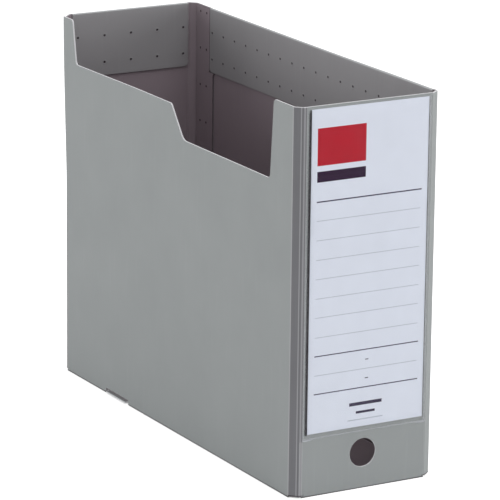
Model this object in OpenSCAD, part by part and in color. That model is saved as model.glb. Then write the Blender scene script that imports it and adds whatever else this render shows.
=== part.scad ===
// Collapsible landscape file holder, folded from one sheet of grey polypropylene.
//
// The open box stands on its bottom panel. The narrow spine with the label faces -Y, the rear
// wall faces +Y, the tall side is at +X and the side with the reading cut-out is at -X.
// Every upright corner is creased twice, so a narrow slanted strip joins each pair of walls.
// Each strip ends in a round bead on the crease line, and the wall beside it stops one
// crease gap short of the bead, so that a wall can turn about the bead without touching it.
// Units are millimetres. Z is up and z = 0 is the table.

/* [Box] */
// Overall width across the spine
box_width = 103; // [80:1:130]
// Overall length from spine to rear wall
box_length = 317; // [240:1:340]
// Overall height
box_height = 255; // [200:1:330]
// Thickness of the plastic sheet
sheet = 1; // [0.6:0.1:1.6]
// Width of the corner chamfer, measured along either wall
corner_chamfer = 4.5; // [3:0.5:10]
// Clear gap between a crease bead and the wall beside it
crease_gap = 0.3; // [0.2:0.05:0.6]
// Height of the rear wall's foot above the table
rear_foot = 1.5; // [1.3:0.1:4]
// Height of the front strips' feet above the table
front_strip_foot = 1; // [0.5:0.1:4]

/* [Cut-out] */
// Height of the low front ledge of the cut-out
low_ledge_height = 203.2; // [120:0.2:240]
// Height of the higher rear ledge of the cut-out
high_ledge_height = 224.6; // [140:0.2:245]
// Distance from the spine face to the front end of the low ledge
cut_front = 33; // [15:0.5:60]
// Lean of the front end of the cut-out, from ledge to top
cut_front_lean = 3.8; // [0:0.1:10]
// Distance from the spine face to the foot of the slope between the ledges
slope_foot = 145.4; // [80:0.2:200]
// Distance from the spine face to the top of the slope
slope_top = 162; // [90:0.5:220]
// Distance from the spine face to the rear end of the high ledge
cut_rear = 293.4; // [200:0.2:305]
// Lean of the rear end of the cut-out, from ledge to top
cut_rear_lean = 4.6; // [0:0.1:10]
// Radius of the small corners of the cut-out
cut_radius = 3; // [1:0.5:8]
// Radius at the foot of the slope
slope_radius = 8; // [2:0.5:20]

/* [Hems and seam] */
// Depth of the folded top hems
hem_depth = 45.5; // [20:0.5:70]
// Radius of the hems' lower corners
hem_radius = 3; // [1:0.5:10]
// Distance from the spine face to the rear end of the tall side's hem
side_hem_rear = 292; // [200:0.5:300]
// Distance from the spine face to the front end of the tall side's hem
side_hem_front = 8; // [6:0.5:30]
// Width of the rear hem
rear_hem_width = 90.4; // [60:0.2:92]
// Distance from the spine face to the front edge of the seam flap
seam_flap_edge = 287.5; // [260:0.5:300]
// Radius of a weld spot
spot_radius = 1; // [0.8:0.1:3]
// Height of a weld spot above the sheet
spot_height = 0.25; // [0.1:0.05:0.6]
// Depth below the top of the upper row of weld spots
upper_spot_row = 17.3; // [8:0.1:25]
// Depth below the top of the lower row of weld spots
lower_spot_row = 36.2; // [26:0.1:60]
// Spacing of the weld spots along the tall side's hem
side_spot_pitch = 15.6; // [8:0.1:30]
// Number of weld spots in one row of the tall side's hem
side_spot_count = 18; // [4:1:30]
// Spacing of the weld spots along the rear hem
rear_spot_pitch = 20.6; // [10:0.1:30]
// Number of weld spots in one row of the rear hem
rear_spot_count = 5; // [2:1:8]
// Spacing of the weld spots up the seam flap
seam_spot_pitch = 26.1; // [10:0.1:50]
// Number of weld spots in one column of the seam flap
seam_spot_count = 10; // [3:1:20]

/* [Spine] */
// Radius of the finger hole
finger_hole_radius = 9.5; // [6:0.1:15]
// Height of the finger hole's centre
finger_hole_height = 24; // [15:0.5:60]
// Height of the top of the doubler behind the finger hole
doubler_top = 45.5; // [30:0.5:80]
// Radius of the doubler's own hole
doubler_hole_radius = 10.4; // [7:0.1:18]
// Width of the label pocket
pocket_width = 90; // [60:0.5:90]
// Distance of the pocket's middle from the spine's, towards the tall side
pocket_shift = 1; // [0:0.1:1]
// Height of the pocket's lower edge
pocket_bottom = 38.5; // [30:0.5:80]
// Height of the pocket's open upper edge
pocket_top = 253.6; // [120:0.2:254.5]
// Width of the pocket's side welds
pocket_weld = 1.5; // [0.8:0.1:4]
// Thickness of the clear pocket film
film = 0.2; // [0.1:0.05:0.5]
// Width of the label card
card_width = 85; // [50:0.5:87]
// Height of the label card
card_height = 211; // [80:0.5:212]
// Thickness of the label card
card_thickness = 0.3; // [0.1:0.05:0.5]
// Clear gap on each side of the card in its pocket
card_gap = 0.3; // [0.3:0.05:0.6]

/* [Bottom] */
// Distance from the spine face to the front edge of the locking tongue
tongue_front = 223.5; // [40:0.5:280]
// Width of the locking tongue
tongue_width = 28; // [10:0.5:60]
// How far the tongue stands out of the cut-out side
tongue_reach = 1.3; // [0.5:0.1:6]
// Clear gap at each end of the tongue in its notch
notch_end_gap = 2.6; // [1.8:0.1:8]
// Height of the notch that the tongue passes through
notch_height = 3.4; // [2:0.1:8]
// Radius of the notch's upper corners
notch_radius = 1.5; // [0.5:0.1:3]
// Clear gap between the bottom panel and the walls
bottom_gap = 0.4; // [0.3:0.05:1]

/* [Hidden] */
$fn = 64;
corner_steps = 8;
half_sheet = sheet / 2;
// The walls' middle planes, and where the creases lie on them.
mid_x = box_width / 2 - half_sheet;
mid_y = box_length / 2 - half_sheet;
crease_set_in = corner_chamfer + half_sheet * tan(22.5);
crease_x = box_width / 2 - crease_set_in;
crease_y = box_length / 2 - crease_set_in;
strip_width = sqrt(2) * (mid_x - crease_x);
// A wall stops this far short of its crease line.
crease_relief = half_sheet + crease_gap;
wall_end_x = crease_x - crease_relief;
wall_end_y = crease_y - crease_relief;
front_face = -box_length / 2;
side_inner = box_width / 2 - sheet;
rear_inner = box_length / 2 - sheet;
spine_inner = front_face + sheet;
fold_height = box_height - sheet;
hem_foot = box_height - hem_depth;
hem_seam_gap = 0.3;
card_rest = 2;
card_foot = pocket_bottom + pocket_weld + card_rest;
film_face = front_face - card_thickness - 2 * card_gap;
bottom_left = -side_inner + bottom_gap;
bottom_right = mid_x - crease_relief;
bottom_front = spine_inner + bottom_gap;
bottom_rear = box_length / 2 - crease_gap;
bottom_corner = corner_chamfer - bottom_gap;

grey = [0.60, 0.62, 0.63];
dark_grey = [0.50, 0.51, 0.53];
clear = [0.85, 0.90, 0.95, 0.4];
card_white = [0.86, 0.88, 0.92];

// ---- flat outlines with rounded corners ----

// The place of a corner [x, y, radius], without its radius.
function place(corner) = [corner[0], corner[1]];

// The direction from one point to another.
function toward(from, to) = (to - from) / norm(to - from);

// Half of the angle between a corner's two edges.
function half_angle(a, b, c) = acos(toward(b, a) * toward(b, c)) / 2;

// The compass angle of a direction.
function bearing(v) = atan2(v[1], v[0]);

// The points of an arc about a centre, from one bearing to another by the shorter way round.
function arc_points(centre, r, start, end) =
    let (sweep = (end - start + 540) % 360 - 180)
    [for (i = [0 : corner_steps])
        let (at = start + sweep * i / corner_steps) centre + r * [cos(at), sin(at)]];

// The points of the round that touches both edges of corner b.
function round_points(a, b, c, r) =
    let (back = r / tan(half_angle(a, b, c)),
         first = b + toward(b, a) * back,
         last = b + toward(b, c) * back,
         centre = b + toward([0, 0], toward(b, a) + toward(b, c)) * r / sin(half_angle(a, b, c)))
    arc_points(centre, r, bearing(first - centre), bearing(last - centre));

// The outline's points at corner i: its round, or the corner itself where it is sharp.
function corner_points(corners, i) =
    let (count = len(corners),
         a = place(corners[(i + count - 1) % count]),
         b = place(corners[i]),
         c = place(corners[(i + 1) % count]))
    corners[i][2] == 0 ? [b] : round_points(a, b, c, corners[i][2]);

// A flat outline from a list of corners [x, y, radius], drawn anticlockwise.
module rounded_outline(corners) {
    polygon([for (i = [0 : len(corners) - 1]) each corner_points(corners, i)]);
}

// Stands an outline drawn in Y and Z on the plane x, and thickens it towards +X.
module upright_along_y(x, thickness) {
    translate([x, 0, 0]) rotate([90, 0, 90]) linear_extrude(thickness) children();
}

// Stands an outline drawn in X and Z on the plane y, and thickens it towards -Y.
module upright_along_x(y, thickness) {
    translate([0, y, 0]) rotate([90, 0, 0]) linear_extrude(thickness) children();
}

// The half-round fold along the top of a hem, drawn along Z with its flat side facing -Y.
module rolled_fold(run) {
    linear_extrude(run)
        intersection() {
            circle(sheet);
            translate([-sheet, 0]) square([2 * sheet, sheet]);
        }
}

// ---- corner strips ----

// The strip of one corner, from its foot to the top, with a round bead on each crease line.
module corner_strip(side, end, foot) {
    translate([side * mid_x, end * crease_y, foot])
        rotate([0, 0, atan2(end, -side)])
            union() {
                translate([0, -half_sheet, 0]) cube([strip_width, sheet, box_height - foot]);
                cylinder(r = half_sheet, h = box_height - foot);
                translate([strip_width, 0, 0]) cylinder(r = half_sheet, h = box_height - foot);
            }
}

module front_right_strip() {
    color(dark_grey) corner_strip(1, -1, front_strip_foot);
}

module front_left_strip() {
    color(dark_grey) corner_strip(-1, -1, front_strip_foot);
}

module rear_right_strip() {
    color(dark_grey) corner_strip(1, 1, rear_foot);
}

module rear_left_strip() {
    color(dark_grey) corner_strip(-1, 1, rear_foot);
}

// ---- tall side ----

// The tall side. Its lower edge is the bead that the bottom panel folds about, and its top
// edge steps down under the rolled fold of the hem.
module right_side_panel() {
    hem_start = front_face + side_hem_front;
    hem_end = front_face + side_hem_rear;
    color(grey) union() {
        upright_along_y(side_inner, sheet)
            polygon([[-wall_end_y, half_sheet], [wall_end_y, half_sheet], [wall_end_y, box_height],
                     [hem_end, box_height], [hem_end, fold_height], [hem_start, fold_height],
                     [hem_start, box_height], [-wall_end_y, box_height]]);
        translate([mid_x, -wall_end_y, half_sheet]) rotate([-90, 0, 0])
            cylinder(r = half_sheet, h = 2 * wall_end_y);
    }
}

// The hem folded inward over the top of the tall side, with its rolled fold.
module right_side_top_hem() {
    hem_start = front_face + side_hem_front;
    hem_end = front_face + side_hem_rear;
    color(grey) union() {
        upright_along_y(side_inner - sheet, sheet)
            rounded_outline([[hem_start, hem_foot, hem_radius], [hem_end, hem_foot, hem_radius],
                             [hem_end, fold_height, 0], [hem_start, fold_height, 0]]);
        translate([side_inner, hem_end, fold_height]) rotate([90, 0, 0])
            rolled_fold(hem_end - hem_start);
    }
}

// Two rows of weld spots that hold the tall side's hem.
module right_hem_weld_spots() {
    first_inset = 3.5;
    first = front_face + side_hem_rear - first_inset;
    color(dark_grey)
        for (depth = [upper_spot_row, lower_spot_row])
            for (i = [0 : side_spot_count - 1])
                translate([side_inner - sheet, first - i * side_spot_pitch, box_height - depth])
                    rotate([0, -90, 0]) cylinder(r = spot_radius, h = spot_height);
}

// The flap that closes the box, welded to the inside of the tall side at the rear corner.
// Its upper part is narrower, to leave room for the hem.
module seam_flap() {
    flap_front = front_face + seam_flap_edge;
    narrow_front = front_face + side_hem_rear + hem_seam_gap;
    flap_rear = wall_end_y - crease_relief;
    flap_top = box_height - sheet;
    step = hem_foot - hem_seam_gap;
    color(grey) upright_along_y(side_inner - sheet, sheet)
        polygon([[flap_front, rear_foot], [flap_rear, rear_foot], [flap_rear, flap_top],
                 [narrow_front, flap_top], [narrow_front, step], [flap_front, step]]);
}

// Two columns of weld spots up the seam flap.
module seam_weld_spots() {
    first_depth = 4.6;
    first_column = 9;
    column_gap = 8.5;
    inner_column = front_face + seam_flap_edge + first_column;
    outer_column = inner_column + column_gap;
    color(dark_grey)
        for (y = [inner_column, outer_column])
            for (i = [0 : seam_spot_count - 1])
                translate([side_inner - sheet, y, box_height - first_depth - i * seam_spot_pitch])
                    rotate([0, -90, 0]) cylinder(r = spot_radius, h = spot_height);
}

// ---- cut-out side ----

// The cut-out side: a front pillar, a low ledge, a slope up to a higher ledge, and a rear
// pillar. A notch in its lower edge takes the locking tongue.
module left_side_panel() {
    notch_start = front_face + tongue_front - notch_end_gap;
    notch_end = front_face + tongue_front + tongue_width + notch_end_gap;
    foot_radius = 3.5;
    color(grey) upright_along_y(-box_width / 2, sheet)
        rounded_outline([
            [-wall_end_y, 0, 0],
            [notch_start, 0, 0],
            [notch_start, notch_height, notch_radius],
            [notch_end, notch_height, notch_radius],
            [notch_end, 0, 0],
            [wall_end_y, 0, foot_radius],
            [wall_end_y, box_height, 0],
            [front_face + cut_rear + cut_rear_lean, box_height, cut_radius],
            [front_face + cut_rear, high_ledge_height, cut_radius],
            [front_face + slope_top, high_ledge_height, cut_radius],
            [front_face + slope_foot, low_ledge_height, slope_radius],
            [front_face + cut_front, low_ledge_height, cut_radius],
            [front_face + cut_front - cut_front_lean, box_height, cut_radius],
            [-wall_end_y, box_height, 0]
        ]);
}

// ---- spine ----

// The spine, with the finger hole low down.
module spine_panel() {
    color(grey) upright_along_x(spine_inner, sheet)
        difference() {
            translate([-wall_end_x, 0]) square([2 * wall_end_x, box_height]);
            translate([0, finger_hole_height]) circle(finger_hole_radius);
        }
}

// The second layer folded up behind the spine's foot, with a larger hole.
module spine_foot_doubler() {
    side_margin = 2;
    half_width = wall_end_x - side_margin;
    color(dark_grey) upright_along_x(spine_inner + sheet, sheet)
        difference() {
            rounded_outline([[-half_width, rear_foot, 0], [half_width, rear_foot, 0],
                             [half_width, doubler_top, hem_radius],
                             [-half_width, doubler_top, hem_radius]]);
            translate([0, finger_hole_height]) circle(doubler_hole_radius);
        }
}

// The clear film of the label pocket, open at the top, with an ear at each lower corner.
module label_pocket_film() {
    ear_width = 6.5;
    ear_drop = 1;
    ear_reach = 0.6;
    ear_centre = (pocket_width - ear_width) / 2 + ear_reach;
    color(clear) upright_along_x(film_face, film) translate([pocket_shift, 0])
        union() {
            translate([-pocket_width / 2, pocket_bottom])
                square([pocket_width, pocket_top - pocket_bottom]);
            for (side = [-1, 1])
                translate([side * ear_centre, pocket_bottom])
                    square([ear_width, 2 * ear_drop], center = true);
        }
}

// The welded border that joins the film to the spine at both sides and along the bottom.
module label_pocket_welds() {
    foot_weld = card_foot - card_gap - pocket_bottom;
    color(clear) upright_along_x(front_face, front_face - film_face) translate([pocket_shift, 0])
        difference() {
            translate([-pocket_width / 2, pocket_bottom])
                square([pocket_width, pocket_top - pocket_bottom]);
            translate([-pocket_width / 2 + pocket_weld, pocket_bottom + foot_weld])
                square([pocket_width - 2 * pocket_weld, box_height]);
        }
}

// The printed label card, standing in the pocket.
module label_card() {
    color(card_white) upright_along_x(front_face - card_gap, card_thickness)
        translate([pocket_shift - card_width / 2, card_foot]) square([card_width, card_height]);
}

// ---- rear ----

// The rear wall. Its foot is held just above the bottom panel.
module rear_panel() {
    half_hem = rear_hem_width / 2;
    color(grey) upright_along_x(rear_inner + sheet, sheet)
        polygon([[-wall_end_x, rear_foot], [wall_end_x, rear_foot], [wall_end_x, box_height],
                 [half_hem, box_height], [half_hem, fold_height], [-half_hem, fold_height],
                 [-half_hem, box_height], [-wall_end_x, box_height]]);
}

// The hem folded inward over the top of the rear wall, with its rolled fold.
module rear_top_hem() {
    half_hem = rear_hem_width / 2;
    color(grey) union() {
        upright_along_x(rear_inner, sheet)
            rounded_outline([[-half_hem, hem_foot, hem_radius], [half_hem, hem_foot, hem_radius],
                             [half_hem, fold_height, 0], [-half_hem, fold_height, 0]]);
        translate([-half_hem, rear_inner, fold_height]) rotate([90, 0, 90])
            rolled_fold(rear_hem_width);
    }
}

// Two rows of weld spots that hold the rear hem.
module rear_hem_weld_spots() {
    first = -(rear_spot_count - 1) / 2 * rear_spot_pitch;
    color(dark_grey)
        for (depth = [upper_spot_row, lower_spot_row])
            for (i = [0 : rear_spot_count - 1])
                translate([first + i * rear_spot_pitch, rear_inner - sheet, box_height - depth])
                    rotate([90, 0, 0]) cylinder(r = spot_radius, h = spot_height);
}

// ---- bottom ----

// The bottom panel, hinged to the foot of the tall side. Its corners follow the strips.
module bottom_panel() {
    corner = bottom_corner;
    color(grey) linear_extrude(sheet)
        polygon([[bottom_left, -wall_end_y], [bottom_left + corner, bottom_front],
                 [bottom_right - corner, bottom_front], [bottom_right, -wall_end_y],
                 [bottom_right, wall_end_y], [bottom_right - corner, bottom_rear],
                 [bottom_left + corner, bottom_rear], [bottom_left, wall_end_y]]);
}

// The tongue on the bottom panel's free edge, which passes out through the notch.
module bottom_lock_tongue() {
    tip = -box_width / 2 - tongue_reach;
    start = front_face + tongue_front;
    tip_radius = 0.8;
    color(grey) linear_extrude(sheet)
        rounded_outline([[tip, start, tip_radius], [bottom_left, start, 0],
                         [bottom_left, start + tongue_width, 0], [tip, start + tongue_width, tip_radius]]);
}

right_side_panel();
right_side_top_hem();
right_hem_weld_spots();
seam_flap();
seam_weld_spots();
front_right_strip();
spine_panel();
spine_foot_doubler();
label_pocket_film();
label_pocket_welds();
label_card();
front_left_strip();
left_side_panel();
rear_right_strip();
rear_panel();
rear_top_hem();
rear_hem_weld_spots();
rear_left_strip();
bottom_panel();
bottom_lock_tongue();
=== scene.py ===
"""Looks of a collapsible landscape file holder, folded from one grey plastic sheet.

Every wall, hem, crease, film and card is a surface worked out on a grid in the sheet's own
axes (u along it, v up it, w out of it, in millimetres) and placed in the frame in metres.
"""

from __future__ import annotations

import logging
import math
from dataclasses import dataclass
from enum import Enum
from typing import Callable

import bpy
import numpy as np
from mathutils import Matrix, Vector

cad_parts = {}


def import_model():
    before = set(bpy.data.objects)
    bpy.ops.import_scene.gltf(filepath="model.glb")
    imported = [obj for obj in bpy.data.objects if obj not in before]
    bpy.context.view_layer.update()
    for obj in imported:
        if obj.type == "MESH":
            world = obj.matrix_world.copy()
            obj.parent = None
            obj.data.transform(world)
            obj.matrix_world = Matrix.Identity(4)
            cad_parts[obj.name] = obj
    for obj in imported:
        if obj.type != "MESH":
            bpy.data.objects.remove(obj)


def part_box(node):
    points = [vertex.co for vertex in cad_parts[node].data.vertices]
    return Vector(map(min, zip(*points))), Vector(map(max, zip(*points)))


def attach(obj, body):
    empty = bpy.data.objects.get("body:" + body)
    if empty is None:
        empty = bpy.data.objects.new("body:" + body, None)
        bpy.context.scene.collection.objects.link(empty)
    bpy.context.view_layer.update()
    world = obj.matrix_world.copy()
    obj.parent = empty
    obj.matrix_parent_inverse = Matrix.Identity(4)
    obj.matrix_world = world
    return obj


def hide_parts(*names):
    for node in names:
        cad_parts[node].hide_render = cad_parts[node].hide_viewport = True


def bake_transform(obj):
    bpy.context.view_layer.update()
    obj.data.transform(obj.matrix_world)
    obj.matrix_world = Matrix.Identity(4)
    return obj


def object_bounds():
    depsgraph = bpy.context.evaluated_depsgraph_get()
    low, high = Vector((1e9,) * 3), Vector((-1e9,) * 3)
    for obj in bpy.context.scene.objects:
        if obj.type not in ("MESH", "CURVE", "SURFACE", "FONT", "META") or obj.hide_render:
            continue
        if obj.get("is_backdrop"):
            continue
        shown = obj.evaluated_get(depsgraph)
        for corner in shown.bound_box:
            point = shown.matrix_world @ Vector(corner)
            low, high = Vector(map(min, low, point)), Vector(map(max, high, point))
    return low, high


LOG = logging.getLogger("file_holder")
MM = 0.001
CREASED_EDGE = math.radians(35.0)
Lift = Callable[[np.ndarray, np.ndarray], np.ndarray]


# ---------------------------------------------------------------- sheets as grids


@dataclass(frozen=True)
class SheetAxes:
    """The axes that a flat sheet lies in: a point on it, and its u, v and w directions."""

    origin: tuple[float, float, float]
    u: tuple[float, float, float]
    v: tuple[float, float, float]
    w: tuple[float, float, float]

    def place(self, uvw: np.ndarray) -> np.ndarray:
        """Turns sheet coordinates in millimetres into points of the frame in metres."""
        return (np.array(self.origin) + uvw @ np.array([self.u, self.v, self.w])) * MM


@dataclass
class Patch:
    """A flat grid of points with its faces and its borders, before it gets a thickness.

    Each border is a loop of point numbers, with the sheet on its left, and the true outline
    that the loop stands one edge radius inside.
    """

    points: np.ndarray
    quads: np.ndarray
    borders: list[tuple[np.ndarray, np.ndarray]]


def smooth(t: np.ndarray) -> np.ndarray:
    """A rise from 0 to 1 with level ends: three t squared less two t cubed, held at its ends."""
    t = np.clip(t, 0.0, 1.0)
    return t * t * (3.0 - 2.0 * t)


def inset(loop: np.ndarray, distance: float) -> np.ndarray:
    """Moves a closed loop inward.

    Each point moves along the mean of its two edges' normals, by the distance over the
    cosine of half the turn, so that both edges move in by the same distance.

    Args:
        loop: Points in order, with the sheet on the left.
        distance: How far the edges move in.

    Returns:
        The moved points.
    """
    before = loop - np.roll(loop, 1, axis=0)
    after = np.roll(loop, -1, axis=0) - loop
    normals = []
    for edge in (before, after):
        length = np.maximum(np.linalg.norm(edge, axis=1, keepdims=True), 1e-9)
        normals.append(np.stack([edge[:, 1], -edge[:, 0]], axis=1) / length)
    mean = normals[0] + normals[1]
    mean /= np.maximum(np.linalg.norm(mean, axis=1, keepdims=True), 1e-9)
    cosine = np.maximum(np.sum(mean * normals[0], axis=1, keepdims=True), 0.5)
    return loop - mean * distance / cosine


def rounded(
    corners: list[tuple[float, float, float]], steps: int = 8, closed: bool = True
) -> np.ndarray:
    """Draws an outline with rounded corners.

    A round leaves each edge at the radius over the tangent of half the corner's angle, and
    its points follow an arc about the centre that is one radius from both edges.

    Args:
        corners: The corners in order, each with its radius.
        steps: Steps along each round.
        closed: Whether the last corner joins the first. An open outline's ends stay sharp.

    Returns:
        The outline's points.
    """
    out: list[np.ndarray] = []
    for i, (x, y, radius) in enumerate(corners):
        here = np.array([x, y])
        if radius == 0 or (not closed and i in (0, len(corners) - 1)):
            out.append(here[None])
            continue
        back = np.array(corners[i - 1][:2]) - here
        on = np.array(corners[(i + 1) % len(corners)][:2]) - here
        back, on = back / np.linalg.norm(back), on / np.linalg.norm(on)
        half = math.acos(float(np.clip(back @ on, -1, 1))) / 2
        middle = (back + on) / np.linalg.norm(back + on)
        centre = here + middle * radius / math.sin(half)
        first = here + back * radius / math.tan(half) - centre
        last = here + on * radius / math.tan(half) - centre
        start = math.atan2(first[1], first[0])
        turn = (math.atan2(last[1], last[0]) - start + math.pi) % (2 * math.pi) - math.pi
        angle = start + turn * np.linspace(0, 1, steps + 1)
        out.append(centre + radius * np.stack([np.cos(angle), np.sin(angle)], axis=1))
    return np.concatenate(out)


def run_along(path: np.ndarray) -> np.ndarray:
    """Each point's distance from the first, along an open path."""
    return np.concatenate([[0], np.cumsum(np.linalg.norm(np.diff(path, axis=0), axis=1))])


def spread(places: np.ndarray, decimals: int, closest: float) -> np.ndarray:
    """The places in order and once each, less those that are too close to the one before."""
    places = np.unique(np.round(places, decimals))
    return places[np.concatenate([[True], np.diff(places) > closest])]


def sample(path: np.ndarray, at: np.ndarray, places: np.ndarray) -> np.ndarray:
    """Points of a path at the given places, where its own points stand at the places called at."""
    return np.stack([np.interp(places, at, path[:, 0]), np.interp(places, at, path[:, 1])], axis=1)


def share_columns(
    lower: np.ndarray, upper: np.ndarray, spacing: float, extra: np.ndarray
) -> tuple[np.ndarray, np.ndarray]:
    """Gives a lower and an upper outline the same columns.

    Both outlines run from left to right. Each point's place is its distance along u plus a
    little of its distance along the outline, so that upright stretches keep their points.

    Args:
        lower: The lower outline.
        upper: The upper outline.
        spacing: The widest column.
        extra: Further u values that get a column.

    Returns:
        The two outlines, sampled at the same places.
    """
    slant, closest = 0.03, 2e-5

    def place(outline: np.ndarray) -> np.ndarray:
        """Each point's place, from 0 to 1: its share of the width, and a little of the run."""
        run = run_along(outline)
        across = (outline[:, 0] - outline[0, 0]) / (outline[-1, 0] - outline[0, 0])
        return (1 - slant) * across + slant * run / run[-1]

    width = lower[-1, 0] - lower[0, 0]
    even = np.linspace(0, 1, max(2, int(width / spacing)) + 1)
    wanted = (extra - lower[0, 0]) / width
    wanted = wanted[(wanted > 0) & (wanted < 1)]
    both = spread(np.concatenate([place(lower), place(upper), even, wanted]), 6, closest)
    return sample(lower, place(lower), both), sample(upper, place(upper), both)


def strip_patch(lower: np.ndarray, upper: np.ndarray, rows: np.ndarray, edge: float) -> Patch:
    """A grid between two outlines: a point is the lower one plus its row's share of the way up.

    Args:
        lower: The lower outline, from left to right.
        upper: The upper outline, with as many points.
        rows: Each row's share of the way from lower to upper, from 0 to 1.
        edge: The edge radius, by which the grid stands inside the outline.

    Returns:
        The patch.
    """
    n_rows, n_columns = len(rows), len(lower)
    number = np.arange(n_rows * n_columns).reshape(n_rows, n_columns)
    loop = np.concatenate([number[0], number[1:, -1], number[-1, -2::-1], number[-2:0:-1, 0]])
    share = rows[:, None, None]
    true = (lower[None] * (1 - share) + upper[None] * share).reshape(-1, 2)
    outline = true[loop]
    border = inset(outline, edge)
    far = n_columns + n_rows - 2
    low, high = border[:n_columns], border[far : far + n_columns][::-1]
    points = (low[None] * (1 - share) + high[None] * share).reshape(-1, 2)
    points[loop] = border
    quads = np.stack([number[:-1, :-1], number[:-1, 1:], number[1:, 1:], number[1:, :-1]], axis=-1)
    return Patch(points, quads.reshape(-1, 4), [(loop, outline)])


def ring_patch(hole: np.ndarray, outline: np.ndarray, rows: np.ndarray, edge: float) -> Patch:
    """A grid between a hole and an outline around it, both anticlockwise and of equal length.

    Args:
        hole: Points round the hole.
        outline: Points round the outside, one for each point of the hole.
        rows: Each row's share of the way from the hole to the outside, from 0 to 1.
        edge: The edge radius, by which the grid stands inside both outlines.

    Returns:
        The patch.
    """
    n_rows, n_round = len(rows), len(hole)
    number = np.arange(n_rows * n_round).reshape(n_rows, n_round)
    inner = inset(hole[::-1], edge)[::-1]
    outer = inset(outline, edge)
    share = rows[:, None, None]
    points = (inner[None] * (1 - share) + outer[None] * share).reshape(-1, 2)
    on = np.roll(number, -1, axis=1)
    quads = np.stack([number[:-1], number[1:], on[1:], on[:-1]], axis=-1).reshape(-1, 4)
    return Patch(points, quads, [(number[0][::-1], hole[::-1]), (number[-1], outline)])


def bell(x: np.ndarray, width: float) -> np.ndarray:
    """A bell curve of height 1: e to the power of minus (x over the width) squared."""
    return np.exp(-((x / width) ** 2))


@dataclass(frozen=True)
class Ridge:
    """A line that is as strong as its height at its place and fades as a bell curve."""

    height: float
    place: float
    width: float

    def at(self, x: np.ndarray) -> np.ndarray:
        """The line's strength at each x."""
        return self.height * bell(x - self.place, self.width)


def level(u: np.ndarray, v: np.ndarray) -> np.ndarray:
    """No lift anywhere."""
    return np.zeros_like(u)


def thicken(
    patch: Patch, thickness: float, edge: float, bow: Lift = level, front: Lift = level
) -> tuple[np.ndarray, np.ndarray, np.ndarray]:
    """Makes a closed sheet from a patch.

    The two faces stand half a thickness either side of the bowed middle. A border's rim is a
    quarter round of the edge radius, a straight part and another quarter round: at angle a
    it stands edge times (1 - sin a) inside the outline, edge times (1 - cos a) below the face.

    Args:
        patch: The flat patch.
        thickness: The sheet's thickness.
        edge: The edge radius.
        bow: Lift of the whole sheet.
        front: Further lift of the front face.

    Returns:
        Points in sheet coordinates, four-cornered faces, and each point's share of cut edge.
    """
    half, steps = thickness / 2, 3
    u, v = patch.points.T
    count = len(patch.points)
    sheet = bow(u, v)
    faces = [patch.quads, patch.quads[:, ::-1] + count]
    points = [
        np.stack([u, v, sheet + half + front(u, v)], axis=1),
        np.stack([u, v, sheet - half], axis=1),
    ]
    rim = [np.zeros(2 * count)]
    total = 2 * count
    angles = np.linspace(0, math.pi / 2, steps + 1)[1:]
    for loop, outline in patch.borders:
        rows = [loop]
        for a, side in [(a, 1) for a in angles] + [(a, -1) for a in angles[::-1]]:
            at = inset(outline, edge * (1 - math.sin(a)))
            height = side * (half - edge * (1 - math.cos(a)))
            points.append(np.column_stack([at, bow(at[:, 0], at[:, 1]) + height]))
            rows.append(total + np.arange(len(loop)))
            rim.append(np.ones(len(loop)))
            total += len(loop)
        rows.append(loop + count)
        table = np.array(rows)
        on = np.roll(table, -1, axis=1)
        faces.append(np.stack([table[:-1], table[1:], on[1:], on[:-1]], axis=-1).reshape(-1, 4))
    return np.concatenate(points), np.concatenate(faces), np.concatenate(rim)


def sweep(
    profiles: np.ndarray, stations: np.ndarray, edge: float
) -> tuple[np.ndarray, list, np.ndarray]:
    """Carries a closed profile along a straight path and closes both ends.

    The profile at each end is drawn in by the edge radius along a quarter round, so that the
    ends aren't sharp.

    Args:
        profiles: The profile's points at each station, anticlockwise.
        stations: Places along the path, at right angles to the profile.
        edge: The edge radius of the ends.

    Returns:
        Points (profile's two axes, then the path), faces, and each point's share of cut edge.
    """
    steps = 2
    turn = np.linspace(0, math.pi / 2, steps + 1)
    rings, places, cut = [], [], []
    for a in turn[:-1]:
        rings.append(inset(profiles[0], edge * (1 - math.sin(a))))
        places.append(stations[0] + edge * (1 - math.cos(a)))
        cut.append(1.0)
    middle = np.clip(stations, stations[0] + edge, stations[-1] - edge)
    for ring, at in zip(profiles, middle):
        rings.append(ring)
        places.append(at)
        cut.append(1.0 if at in (middle[0], middle[-1]) else 0.0)
    for a in turn[:-1][::-1]:
        rings.append(inset(profiles[-1], edge * (1 - math.sin(a))))
        places.append(stations[-1] - edge * (1 - math.cos(a)))
        cut.append(1.0)
    grid = np.array(rings)
    n_rings, n_round = grid.shape[:2]
    along = np.repeat(np.array(places)[:, None], n_round, axis=1)
    points = np.concatenate([grid, along[..., None]], axis=2).reshape(-1, 3)
    number = np.arange(n_rings * n_round).reshape(n_rings, n_round)
    on = np.roll(number, -1, axis=1)
    quads = np.stack([number[:-1], on[:-1], on[1:], number[1:]], axis=-1).reshape(-1, 4)
    faces = quads.tolist() + [number[0][::-1].tolist(), number[-1].tolist()]
    return points, faces, np.repeat(np.array(cut), n_round)


def signed_volume(points: np.ndarray, faces: list) -> float:
    """Adds up each triangle's first corner dotted with the cross product of the other two.

    Every face is fanned into triangles.

    Args:
        points: The points.
        faces: Lists of point numbers.

    Returns:
        Six times the volume that the faces enclose, positive when they point outward.
    """
    total = 0.0
    for size in sorted({len(f) for f in faces}):
        group = points[np.array([f for f in faces if len(f) == size])]
        for k in range(1, size - 1):
            crossed = np.cross(group[:, k], group[:, k + 1])
            total += float(np.einsum("ij,ij->", group[:, 0], crossed))
    return total


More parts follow.
